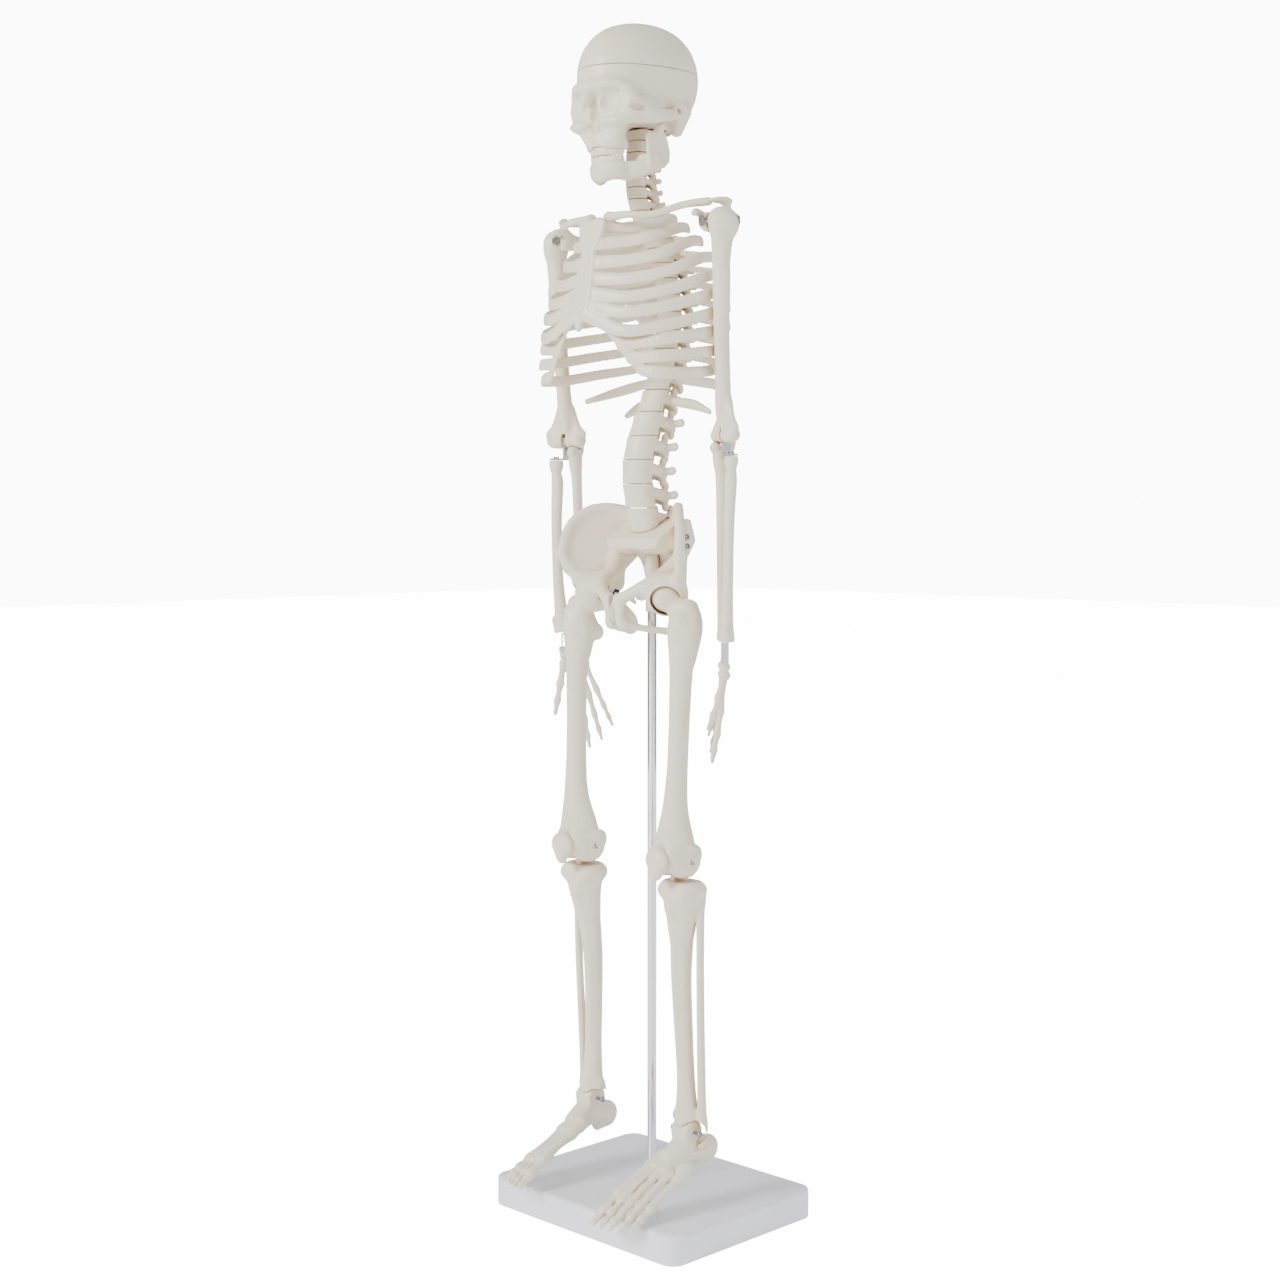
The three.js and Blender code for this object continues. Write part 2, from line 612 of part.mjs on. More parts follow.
// The screw holes, wide enough outside the bone for the heads.
const sacroiliacDrills = () =>
  Object.values(SI_HEADS).flatMap((head) => [
    bore(along(head, SI_AXIS, -1), along(head, SI_AXIS, 17), 1),
    bore(along(head, SI_AXIS, -7), along(head, SI_AXIS, -0.4), 2.6),
  ]);

function sacroiliacScrew(place) {
  const head = SI_HEADS[place];
  return join(
    bar(along(head, SI_AXIS, -1), along(head, SI_AXIS, 16), 1),
    bar(along(head, SI_AXIS, -2.6), along(head, SI_AXIS, -0.8), 1.9, 2.2),
  );
}

const symphysis = () => ball([0, -37, 438], [1.2, 3.2, 7.4], { sides: 10 });

// The bolt through the floor of the socket, with its spring sleeve and nut on the inner side.
function hipScrew() {
  const at = (x) => [HIP[0] + x, HIP[1], HIP[2]];
  const bolt = bar(at(-26), at(5), SCREW_RADIUS);
  const spring = bar(at(-24), at(-15), 3.4);
  const nut = bar(at(-27), at(-24), 4.6, undefined, 6);
  return join(bolt, spring, nut);
}

// Leg (left) -----------------------------------------------------------------------------------

const atKnee = (x) => shifted(KNEE, x, 0, 0);
const kneeBore = () => bore(atKnee(-30), atKnee(30), SCREW_RADIUS);

function femur() {
  const head = ball(HIP, HEAD_RADIUS, { sides: 10 });
  const neck = bar(HIP, [54, -21, 437], 6, 7.5);
  const trochanter = ball([56.5, -20, 438], [6, 8, 10]);
  const inner = ball([44, -10.5, 421], [6, 6, 7]);
  const rows = [[0, 8], [0.05, 10], [0.14, 9.4], [0.3, 7.2], [0.55, 6.8], [0.78, 8], [0.9, 11], [1, 13]];
  const shaft = turned([52.5, -20.5, 442], [48.5, -25, 276], rows);
  const condyle = (x, half) => bar(atKnee(x - half), atKnee(x + half), CONDYLE_RADIUS, undefined, 10);
  const groove = ball(shifted(KNEE, 0, -7, 2), [14, 10, 10], { sides: 10 });
  const notch = block(shifted(KNEE, -2.8, -5, -20), shifted(KNEE, 2.8, 30, 5));
  const headBore = bore(shifted(HIP, -20, 0, 0), shifted(HIP, 6, 0, 0), SCREW_RADIUS);
  const floor = block([20, -60, 230], [80, 20, KNEE[2] - CONDYLE_RADIUS]);
  const whole = join(head, neck, trochanter, inner, shaft, condyle(-8.5, 6), condyle(8.5, 6), groove);
  return cut(whole, notch, kneeBore(), headBore, floor);
}

function patella() {
  const centre = [KNEE[0], -46, 266];
  const behind = block(shifted(centre, -15, 3, -15), shifted(centre, 15, 9, 15));
  return cut(ball(centre, [10, 6, 11], { sides: 10 }), behind);
}

function kneePin() {
  const shank = bar(atKnee(-16), atKnee(16), SCREW_RADIUS);
  const innerHead = bar(atKnee(-16.6), atKnee(-15), 2.6, 3);
  const outerHead = bar(atKnee(15), atKnee(16.6), 3, 2.6);
  return join(shank, innerHead, outerHead);
}

function tibiaAndFibula() {
  const plateau = KNEE[2] - CONDYLE_RADIUS - 3;
  const rows = [
    [0, 16.5], [0.05, 16.5], [0.12, 12.5], [0.25, 8.4], [0.5, 6.8], [0.8, 6.4], [0.93, 9], [1, 10],
  ];
  const shin = turned([49.5, -21, plateau], [51.5, -17.5, ANKLE[2] + 4], rows, { flat: 0.82, sides: 8 });
  const tie = bar([52, -16, 86], [64, -15, 86], 4, 3, 6);
  const tuberosity = ball([48, -31, 234], [5, 4.5, 8]);
  const fibulaRows = [[0, 3.4], [0.04, 5], [0.12, 2.8], [0.86, 3], [0.95, 4.4], [1, 2.6]];
  const fibula = turned([62, -15, 243], [64, -14, 64], fibulaRows);
  const innerAnkle = ball([43, -17, 74], [3.2, 5.5, 8.5]);
  const lugEye = bar(atKnee(-2.2), atKnee(2.2), 4.4);
  const lug = join(lugEye, block(shifted(KNEE, -2.2, -4.2, -17), shifted(KNEE, 2.2, 4.2, 0)));
  const dome = bar(atAnkle(-7.9), atAnkle(7.9), TALUS_RADIUS + GAP, undefined, 12);
  const footRoom = block(shifted(ANKLE, -7.9, -40, -40), shifted(ANKLE, 7.9, 40, 1));
  const solids = [shin, tie, tuberosity, fibula, innerAnkle, lug];
  const headRoom = bar(atAnkle(-16), atAnkle(-12.6), 2.8);
  return cut(join(...solids), kneeBore(), dome, ankleBore(), headRoom, footRoom);
}

const ANKLE_PIN_RADIUS = 1.2;
const atAnkle = (x) => shifted(ANKLE, x, 0, 0);
const ankleBore = () => bore(atAnkle(-30), atAnkle(30), ANKLE_PIN_RADIUS);

function anklePin() {
  const shank = bar(atAnkle(-13.6), atAnkle(13.6), ANKLE_PIN_RADIUS);
  return join(shank, bar(atAnkle(-14.2), atAnkle(-13), 2, 2.2), bar(atAnkle(13), atAnkle(14.2), 2.2, 2));
}

// Drawn with the ankle's axis at the origin, the sole level and the toes towards -Y.
// The talus and the pin's way keep to the ankle's own axis, whatever the foot's roll.
function footBones({ droop, roll }) {
  const neck = ball([0.5, -9, -9], [6.5, 12, 7]);
  const heel = ball([3, 10, -21], [8.5, 15.5, 12.5], { pitch: -15 });
  const middle = ball([1.5, -20, -16], [14, 17, 8.5], { pitch: 12 });
  const toes = [
    { root: [-6, -26, -15], tip: [-10.6, -87, -29], thick: 4.4 },
    { root: [-2, -26, -15], tip: [-3.6, -87, -30.5], thick: 3.3 },
    { root: [2, -26, -16], tip: [3.4, -85.5, -31.3], thick: 3.2 },
    { root: [6, -26, -17], tip: [10.4, -83, -32], thick: 3.2 },
    { root: [12, -22, -21], tip: [17.2, -78.5, -32.6], thick: 3.3 },
  ];
  const rays = toes.map(({ root, tip, thick }) => bar(root, tip, thick * 1.3, thick * 0.8, 6));
  const sole = join(neck, heel, middle, ...rays).rotate([0, roll, 0]).rotate([droop, 0, 0]);
  const forkRoom = [[-20, -7.5], [7.5, 20]].map(([from, to]) => block([from, -14, -13], [to, 14, 14]));
  const talus = bar([-7.5, 0, 0], [7.5, 0, 0], TALUS_RADIUS, undefined, 12);
  const pinWay = bore([-30, 0, 0], [30, 0, 0], ANKLE_PIN_RADIUS);
  const talusBarrel = bar([-9, 0, 0], [9, 0, 0], TALUS_RADIUS, undefined, 12);
  const roof = cut(block([-7.8, -30, 0], [7.8, 30, 30]), talusBarrel);
  return cut(join(cut(sole, ...forkRoom, roof), talus), pinWay);
}

// Skull ----------------------------------------------------------------------------------------

const jawCondyle = (side) => [side * 30, JAW_HINGE[1], JAW_HINGE[2]];

function skullShells() {
  const { centre, radii, wall, cut: cutHeight } = SKULL;
  const outer = ball(centre, radii, { sides: 14 });
  const inner = ball(centre, radii.map((radius) => radius - wall), { sides: 10 });
  const base = ball([0, -14, 785], [30, 34, 18], { sides: 10 });
  const face = ball([0, -47, 782], [27, 18, 24], { sides: 10 });
  const upperJaw = ball([0, -50, 765], [15, 15, 12], { sides: 10 });
  const cheeks = [-1, 1].map((side) =>
    bent([[side * 22, -57, 778], [side * 34, -42, 782], [side * 36, -22, 785]], 3, { steps: 4, tall: 1.4 }),
  );
  const eyes = [-1, 1].map((side) => ball([side * 16, -68, 787.5], [9, 15, 8.2], { sides: 10 }));
  const nose = ball([0, -70, 773], [5.5, 12, 7.5], { sides: 10 });
  const below = block([-60, -90, 700], [60, 60, cutHeight]);
  const above = block([-60, -90, cutHeight + GAP], [60, 60, 900]);
  const condyles = block([-20, -90, 740], [20, 60, NECK_TOP + GAP]);
  const throat = block([-60, -42, 740], [60, 60, 766]);
  const teeth = block([-60, -90, 740], [60, 60, 753]);
  const pinWay = bar([0, NECK_Y, 750], [0, NECK_Y, NECK_TOP + 6], 1.5 + GAP);
  const jawRoom = [-1, 1].map((side) => ball(jawCondyle(side), [4.6, 5.4, 5.4], { sides: 10 }));
  const lower = cut(
    join(outer, base, face, upperJaw, ...cheeks).intersect(below),
    inner,
    ...eyes,
    nose,
    condyles,
    throat,
    teeth,
    pinWay,
    ...jawRoom,
  );
  const cap = cut(outer.intersect(above), inner);
  return { lower, cap };
}

const NECK_TOP = 774.5;
const NECK_Y = -15;

const neckPin = () => bar([0, NECK_Y, NECK_TOP - 8], [0, NECK_Y, NECK_TOP + 5], 1.5);

function mandible() {
  const outline = [
    [-27, -34, 747], [-20, -44, 744], [-11, -51.5, 743.4], [0, -54, 743.4],
    [11, -51.5, 743.4], [20, -44, 744], [27, -34, 747],
  ];
  const body = bent(outline, 3, { steps: 10, tall: 2.6 });
  const branches = [-1, 1].map((side) =>
    join(
      ball([side * 29, -33, 757], [3.2, 12.5, 12]),
      bar([side * 29, -24, 762], jawCondyle(side), 3.4, 3, 8),
      ball(jawCondyle(side), [3.6, 4, 4]),
    ),
  );
  const topTrim = block([-60, -90, 752.4], [60, -36, 790]);
  return join(cut(body, topTrim), ...branches);
}

// Assembly -------------------------------------------------------------------------------------

const skeleton = new THREE.Group();
const add = (name, part, material = bone, parent = skeleton) => parent.add(meshOf(name, part, material));

add("base_plate", basePlate(), basePlastic);
add("threaded_insert", threadedInsert(), steel);
add("support_rod", supportRod(), chrome);
add("rod_cap_nut", capNut(), chrome);
add("sacrum", sacrum());
add("pubic_symphysis", symphysis(), cartilage);
for (let level = 1; level <= LUMBAR.count; level += 1) {
  add(`lumbar_vertebra_${level}`, lumbarVertebra(level));
}
for (let index = 0; index < THORACIC.blocks; index += 1) {
  const first = index * THORACIC.perBlock + 1;
  const floating = [10, 11].flatMap((rank) => [floatingRib(-1, rank), floatingRib(1, rank)]);
  const vertebrae = thoracicBlock(index);
  const part = index === THORACIC.blocks - 1 ? join(vertebrae, ...floating) : vertebrae;
  add(`thoracic_vertebrae_${first}_${first + THORACIC.perBlock - 1}`, part);
}
add("cervical_vertebrae_3_7", cervicalVertebrae(0, CERVICAL.lowerCount));
const pinBore = bar([0, NECK_Y, 764], [0, NECK_Y, 790], 1.5 + GAP);
add("cervical_vertebrae_1_2", cut(cervicalVertebrae(CERVICAL.lowerCount, 2), pinBore));
add("neck_pin", neckPin(), steel);
add("rib_cage", ribCage());
const { lower, cap } = skullShells();
add("skull_base", lower);
add("skull_cap", cap);
add("mandible", mandible());

for (const [sideName, sign] of [["left", 1], ["right", -1]]) {
  const half = new THREE.Group();
  half.scale.x = sign;
  skeleton.add(half);
  const pose = POSE[sideName];
  const addHalf = (name, part, material, parent = half) =>
    add(`${name}_${sideName}`, part, material, parent);

  addHalf("hip_bone", hipBone());
  addHalf("sacroiliac_screw_upper", sacroiliacScrew("upper"), steel);
  addHalf("sacroiliac_screw_lower", sacroiliacScrew("lower"), steel);
  addHalf("hip_screw", hipScrew(), chrome);
  addHalf("clavicle", clavicle());
  addHalf("scapula", shoulderBlade());
  addHalf("shoulder_screw", shoulderScrew(), chrome);
  addHalf("humerus", humerus());
  addHalf("elbow_bracket", elbowBracket(), chrome);
  addHalf("radius", radius());
  addHalf("ulna", ulna());

  const wrist = new THREE.Group();
  wrist.position.set(...WRIST);
  wrist.rotation.z = degrees(PALM_YAW);
  half.add(wrist);
  addHalf("wrist_strap", wristStrap(), chrome, wrist);
  const hand = new THREE.Group();
  hand.rotation.x = degrees(-pose.hand);
  wrist.add(hand);
  addHalf("hand", handBones(), bone, hand);

  addHalf("femur", femur());
  addHalf("patella", patella());
  addHalf("knee_pin", kneePin(), steel);
  const knee = new THREE.Group();
  knee.position.set(...KNEE);
  knee.rotation.x = degrees(pose.shin);
  half.add(knee);
  const shin = new THREE.Group();
  shin.position.set(...KNEE.map((value) => -value));
  knee.add(shin);
  addHalf("tibia_and_fibula", tibiaAndFibula(), bone, shin);
  addHalf("ankle_pin", anklePin(), steel, shin);
  const foot = new THREE.Group();
  foot.position.set(...ANKLE);
  shin.add(foot);
  addHalf("foot", footBones(pose), bone, foot);
}

export default skeleton;
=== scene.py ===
"""The visible surfaces of a half-size skeleton model that hangs on a chrome rod over a moulded base.

Lengths are millimetres until a mesh is made, which is in metres. The skeleton faces -Y and its left
side is at +X. Bones are sculpted as distance fields on a grid, then skinned. Left-hand bones are made
once, and the right side is their mirror image.
"""

import json
import math

import bpy
import numpy as np
from mathutils import Matrix, Vector

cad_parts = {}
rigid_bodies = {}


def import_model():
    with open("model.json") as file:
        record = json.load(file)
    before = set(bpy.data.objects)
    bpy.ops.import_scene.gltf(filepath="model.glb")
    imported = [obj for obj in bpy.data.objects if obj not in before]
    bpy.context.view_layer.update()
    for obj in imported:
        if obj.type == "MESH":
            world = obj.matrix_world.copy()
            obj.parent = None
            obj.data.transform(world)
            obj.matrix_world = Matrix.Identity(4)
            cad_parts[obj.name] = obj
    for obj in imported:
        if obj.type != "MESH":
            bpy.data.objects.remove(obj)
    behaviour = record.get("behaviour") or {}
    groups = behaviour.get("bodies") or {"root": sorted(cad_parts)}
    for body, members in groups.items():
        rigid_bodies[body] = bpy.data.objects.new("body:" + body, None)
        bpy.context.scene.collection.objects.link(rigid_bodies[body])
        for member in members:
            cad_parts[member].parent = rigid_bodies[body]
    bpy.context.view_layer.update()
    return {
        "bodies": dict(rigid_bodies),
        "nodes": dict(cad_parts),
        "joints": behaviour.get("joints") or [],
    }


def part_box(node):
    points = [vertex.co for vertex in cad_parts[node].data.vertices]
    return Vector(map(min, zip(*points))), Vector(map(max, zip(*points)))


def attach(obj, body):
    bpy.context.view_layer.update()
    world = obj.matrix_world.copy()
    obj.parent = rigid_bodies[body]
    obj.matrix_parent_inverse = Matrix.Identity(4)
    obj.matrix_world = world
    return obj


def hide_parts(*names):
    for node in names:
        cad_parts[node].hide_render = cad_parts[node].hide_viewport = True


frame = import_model()

MM = 0.001
CELL = 0.8  # the sculpting grid of the long bones
FINE = 0.6  # and of the small ones
FAR = 60.0
SIDES = {"left": 1, "right": -1}
BOTH = (-1, 1)

# Places -----------------------------------------------------------------------------------------

PIVOTS = {joint["name"]: np.array(joint["pos_m"]) / MM for joint in frame["joints"] if "pos_m" in joint}
SHOULDER = PIVOTS["shoulder_left"]
ELBOW = PIVOTS["elbow_left"]
WRIST = PIVOTS["wrist_left"]
HIP = PIVOTS["hip_left"]
KNEE = PIVOTS["knee_left"]
ANKLE = PIVOTS["ankle_left"]
JAW_HINGE = PIVOTS["jaw_hinge"]

SHOULDER_YAW, ELBOW_YAW, PALM_YAW = 42, -20, -45  # headings of the arm's screws, degrees from +X
POSE = {
    "left": {"shin": 0, "droop": 15.5, "roll": 7.5, "hand": 3},
    "right": {"shin": 2.6, "droop": 9.5, "roll": 1, "hand": -2},
}

SKULL_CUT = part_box("skull_cap")[0][2] / MM - 0.35
NECK_TOP = 774.5
SACRAL_SEAT = [(-18, 490.5), (5, 504.5)]
LUMBAR = {"count": 5, "bottom": 493.6, "pitch": 17}
THORACIC = {"count": 12, "bottom": 578.6, "top": 718.5}
CERVICAL = {"count": 7, "bottom": 718.5, "pitch": 8}
COLUMN_Z = [490, 503, 519, 536, 553, 570, 588, 606, 628, 652, 680, 700, 714, 727, 745, 772]
COLUMN_Y = [-4, -9, -13, -15, -12.5, -6, 1, 8, 14, 18, 13, 2, -9, -15, -17, -15]

# The jaw's upright branch, as (y, z).
RAMUS = [
    (-31, 744), (-33, 757), (-33.4, 766), (-31, 769), (-28, 768), (-24.5, 771.6), (-19, 771.4),
    (-13.6, 764), (-11, 756), (-11.6, 749.5), (-16, 745), (-24, 742.6),
]

# The ribs, pair by pair from the top: widths as shares of the widest, and heights at the side, at the
# lowest point and in front. The pairs in RIB_ENDS stop on the margin, at that (x, y).
RIB_PAIRS = 10
RIB_WIDTHS = [0.45, 0.6, 0.74, 0.85, 0.93, 0.98, 1, 1, 1, 0.95]
RIB_SIDES = [708, 702, 692, 680, 667.5, 655.5, 642.5, 630, 616.5, 603]
RIB_LOWS = [702, 692, 678.5, 665.5, 653, 642.5, 630, 621.5, 611, 600.5]
RIB_FRONTS = [705, 691, 678, 667, 657, 649, 643, 621, 612, 604]
RIB_ENDS = {7: (32, -61), 8: (39, -58.5), 9: (46, -55)}
RIB_HALF_WIDTH = 73.5
MARGIN = [(4, -71, 642), (14.4, -67, 638.5), (24.3, -63.5, 630.5), (32, -61, 621), (39, -58.5, 612)]
MARGIN += [(46, -55, 604), (52, -51.5, 600)]

# The hip bone's fan: its heel, the heading it spreads along, and its rim as (along, z).
BLADE_HEEL, BLADE_YAW = (29, 0, 0), -45.3
BLADE_RIM = [
    (-9, 504), (-2, 511), (7.3, 512.8), (14.5, 513.3), (23, 512.1), (31.4, 508), (38.7, 501.4),
    (42.9, 493.5), (46.4, 477.3), (42.6, 464.8), (36.5, 463), (26, 450), (8, 448), (2, 458),
    (3.1, 467), (-7.2, 476), (-12, 488),
]
SI_WAY = np.array([-0.98, 0.05, -0.15])
SI_HEADS = [(29.5, 5, 490), (31.5, 3.5, 483.5)]
HIP_RADIUS = 11.1
TALUS_RADIUS = 8.5

ROD_RADIUS, ROD_BOTTOM, ROD_TOP = 3.35, 8, 477.6
BASE_CORNER, BASE_EDGE = 11, 2.4
WELL_RADIUS, WELL_FLOOR = 6.85, 4.65

# The studio, in metres and watts. Backdrop and floor are brighter to the camera than to the object.
LENS, SENSOR = 56.2, 36
CAMERA_PLACE, CAMERA_YAW, CAMERA_PITCH = (1.0056, -1.0160, 0.5075), 45.05, 3.655
AIM = (0, 0, 0.45)
DOME_LIGHT, BACKDROP_LIGHT, FLOOR_GLOW, FLOOR_SHOWN = 0.85, 14, 0.45, 13.6
FLOOR_REACH = 9
CARD_AWAY, CARD_HALF_WIDTH, CARD_HEIGHT = 1.3, 0.4, 2


def heading(yaw):
    """Level unit vector at yaw degrees from +X."""
    return np.array([math.cos(math.radians(yaw)), math.sin(math.radians(yaw)), 0.0])


def smooth_path(points, steps):
    """A smooth run through the points (Catmull-Rom), with that many steps between each two."""
    points = np.array(points, float)
    ends = np.vstack([2 * points[0] - points[1], points, 2 * points[-1] - points[-2]])
    shares = np.linspace(0, 1, steps, endpoint=False)[:, None]
    run = []
    for before, start, end, after in zip(ends, ends[1:], ends[2:], ends[3:]):
        bend = -before + 3 * start - 3 * end + after
        lean = 2 * before - 5 * start + 4 * end - after
        run.append(0.5 * (2 * start + (end - before) * shares + lean * shares**2 + bend * shares**3))
    return np.vstack([*run, points[-1:]])


COLUMN = smooth_path(np.column_stack([COLUMN_Y, COLUMN_Z]), 8)


def column_y(z):
    """Middle of the spine at a height, or at many."""
    return np.interp(z, COLUMN[:, 1], COLUMN[:, 0])


# Distance fields --------------------------------------------------------------------------------
# A shape holds its lowest and highest corner, and a function of three grid axes that gives distances.


class Shape:
    def __init__(self, low, high, distance):
        self.low = np.array(low, float)
        self.high = np.array(high, float)
        self.distance = distance


def window(axes, low, high):
    """Slices of the grid axes that cover a box."""
    return tuple(
        slice(int(np.searchsorted(axis, start)), int(np.searchsorted(axis, end)))
        for axis, start, end in zip(axes, low, high)
    )


def spread(axes):
    """The three axes shaped so that they broadcast to a block."""
    return axes[0][:, None, None], axes[1][None, :, None], axes[2][None, None, :]


def turn_matrix(turn):
    """Rotation by degrees about X, then Y, then Z."""
    return np.array(
        Matrix.Rotation(math.radians(turn[2]), 3, "Z")
        @ Matrix.Rotation(math.radians(turn[1]), 3, "Y")
        @ Matrix.Rotation(math.radians(turn[0]), 3, "X")
    )


def local(axes, centre, rotation):
    """Coordinates of the block in a frame at centre."""
    offsets = [axis - middle for axis, middle in zip(spread(axes), centre)]
    return [sum(rotation[row][column] * offsets[row] for row in range(3)) for column in range(3)]


def egg(centre, radii, turn=(0, 0, 0)):
    """An ellipsoid."""
    radii = np.broadcast_to(np.array(radii, float), 3)
    rotation = turn_matrix(turn)
    reach = np.sqrt(((rotation * radii) ** 2).sum(axis=1))

    def distance(axes):
        x, y, z = local(axes, centre, rotation)
        scaled = np.sqrt((x / radii[0]) ** 2 + (y / radii[1]) ** 2 + (z / radii[2]) ** 2)
        slope = np.sqrt((x / radii[0] ** 2) ** 2 + (y / radii[1] ** 2) ** 2 + (z / radii[2] ** 2) ** 2)
        return scaled * (scaled - 1) / np.maximum(slope, 1e-6)

    return Shape(centre - reach, centre + reach, distance)


def block(low, high, soft=0.8, turn=(0, 0, 0)):
    """A box with its edges rounded by soft."""
    low, high = np.array(low, float), np.array(high, float)
    centre, half = (low + high) / 2, (high - low) / 2
    rotation = turn_matrix(turn)
    reach = np.abs(rotation) @ half

    def distance(axes):
        gaps = [abs(part) - size + soft for part, size in zip(local(axes, centre, rotation), half)]
        outside = np.sqrt(sum(np.maximum(gap, 0) ** 2 for gap in gaps))
        return outside + np.minimum(np.maximum(gaps[0], np.maximum(gaps[1], gaps[2])), 0) - soft

    return Shape(centre - reach, centre + reach, distance)


def limb(points, radii, squeeze=1.0, across=None, steps=0):
    """A bar through points with a radius at each, thinned by squeeze along across (one or per point)."""
    points = np.array(points, float)
    radii = np.broadcast_to(np.array(radii, float), len(points))
    normals = np.zeros_like(points) if across is None else np.broadcast_to(across, points.shape)
    if steps:
        rows = smooth_path(np.column_stack([points, radii, normals]), steps)
        points, radii, normals = rows[:, :3], rows[:, 3], rows[:, 4:]
    normals = normals / np.maximum(np.linalg.norm(normals, axis=1, keepdims=True), 1e-9)
    thin = squeeze**-2 - 1
    widest = float(radii.max()) * max(1.0, squeeze)

    def distance(axes):
        field = np.full([len(axis) for axis in axes], FAR, np.float32)
        spans = zip(points, points[1:], radii, radii[1:], normals, normals[1:])
        for start, end, radius, last, normal, next_normal in spans:
            pad = widest + 6
            place = window(axes, np.minimum(start, end) - pad, np.maximum(start, end) + pad)
            x, y, z = spread([axis[part] for axis, part in zip(axes, place)])
            if 0 in (x.size, y.size, z.size):
                continue
            run = end - start
            share = (x - start[0]) * run[0] + (y - start[1]) * run[1] + (z - start[2]) * run[2]
            share = np.clip(share / max(run @ run, 1e-9), 0, 1)
            off = [axis - base - share * part for axis, base, part in zip((x, y, z), start, run)]
            facing = (normal + next_normal) / 2
            depth = sum(part * way for part, way in zip(off, facing))
            length = np.sqrt(np.maximum(sum(part**2 for part in off) + thin * depth**2, 0))
            field[place] = np.minimum(field[place], length - radius - (last - radius) * share)
        return field

    return Shape(points.min(axis=0) - widest, points.max(axis=0) + widest, distance)


def drum(centre, radii, half_height, waist=0.0, soft=1.0, lean=None):
    """A standing elliptical cylinder, thinner by waist at mid height; lean gives its middle y at a z."""

    def distance(axes):
        x, y, z = spread(axes)
        middle = centre[1] if lean is None else lean(z)
        x, y, z = x - centre[0], y - middle, z - centre[2]
        taper = 1 - waist * np.clip(1 - (z / half_height) ** 2, 0, 1)
        side = (np.sqrt((x / radii[0]) ** 2 + (y / radii[1]) ** 2) - taper) * min(radii) + soft
        cap = abs(z) - half_height + soft + 0 * side
        outside = np.sqrt(np.maximum(side, 0) ** 2 + np.maximum(cap, 0) ** 2)
        return outside + np.minimum(np.maximum(side, cap), 0) - soft

    reach = np.array([radii[0], radii[1] + (4 if lean else 0), half_height])
    return Shape(np.array(centre) - reach, np.array(centre) + reach, distance)


def plate(outline, thickness, origin, along, up, dish=(0, 0, 0), soft=1.0):
    """An outline of (along, up) points made thick; dish is (along, up, strength) of its hollow."""
    outline = np.array(outline, float)
    origin, along, up = (np.array(part, float) for part in (origin, along, up))
    normal = np.cross(along, up)
    corners = origin + outline[:, :1] * along + outline[:, 1:] * up
    sag = abs(dish[2]) * ((outline - dish[:2]) ** 2).sum(axis=1).max()

    def distance(axes):
        offsets = [axis - base for axis, base in zip(spread(axes), origin)]
        u, v, h = (sum(part * way for part, way in zip(offsets, axis)) for axis in (along, up, normal))
        h = h - dish[2] * ((u - dish[0]) ** 2 + (v - dish[1]) ** 2)
        nearest = np.full(u.shape, FAR**2)
        sign = np.ones(u.shape)
        for (u0, v0), (u1, v1) in zip(outline, np.roll(outline, 1, axis=0)):
            du, dv, wu, wv = u1 - u0, v1 - v0, u - u0, v - v0
            share = np.clip((wu * du + wv * dv) / (du * du + dv * dv), 0, 1)
            nearest = np.minimum(nearest, (wu - du * share) ** 2 + (wv - dv * share) ** 2)
            above, below, left = v >= v0, v < v1, du * wv > dv * wu
            flips = (above & below & left) | ~(above | below | left)
            sign = np.where(flips, -sign, sign)
        side = sign * np.sqrt(nearest) + soft
        face = abs(h) - thickness / 2 + soft
        outside = np.sqrt(np.maximum(side, 0) ** 2 + np.maximum(face, 0) ** 2)
        return outside + np.minimum(np.maximum(side, face), 0) - soft

    reach = thickness + sag
    return Shape(corners.min(axis=0) - reach, corners.max(axis=0) + reach, distance)


def add(shape, blend=1.5):
    return ("add", shape, blend)


def carve(shape, blend=1.0):
    return ("carve", shape, blend)


def keep(shape, blend=0.5):
    return ("keep", shape, blend)


def smooth_min(first, second, blend):
    mix = np.clip(0.5 + 0.5 * (second - first) / max(blend, 1e-3), 0, 1)
    return second + (first - second) * mix - blend * mix * (1 - mix)


def sculpt(steps, cell=None):
    """The skin of a solid made by adding, carving and keeping shapes in turn: vertices and quads."""
    cell = cell or CELL
    added = [step[1] for step in steps if step[0] == "add"]
    low = np.min([shape.low for shape in added], axis=0) - 4 * cell
    high = np.max([shape.high for shape in added], axis=0) + 4 * cell
    axes = [np.arange(start, end, cell) for start, end in zip(low, high)]
    field = np.full([len(axis) for axis in axes], FAR, np.float32)
    for mode, shape, blend in steps:
        if mode == "keep":
            field = -smooth_min(-field, -shape.distance(axes), blend)
            continue
        pad = blend + 3 * cell
        place = window(axes, shape.low - pad, shape.high + pad)
        near = shape.distance([axis[part] for axis, part in zip(axes, place)])
        if mode == "add":
            field[place] = smooth_min(field[place], near, blend)
        else:
            field[place] = -smooth_min(-field[place], near, blend)
    for axis in range(3):
        ends = [slice(None)] * 3
        for end in (0, -1):
            ends[axis] = end
            field[tuple(ends)] = cell
    return relax(*skin(field, np.array([axis[0] for axis in axes]), cell))


CORNERS = [np.array([x, y, z]) for x in (0, 1) for y in (0, 1) for z in (0, 1)]


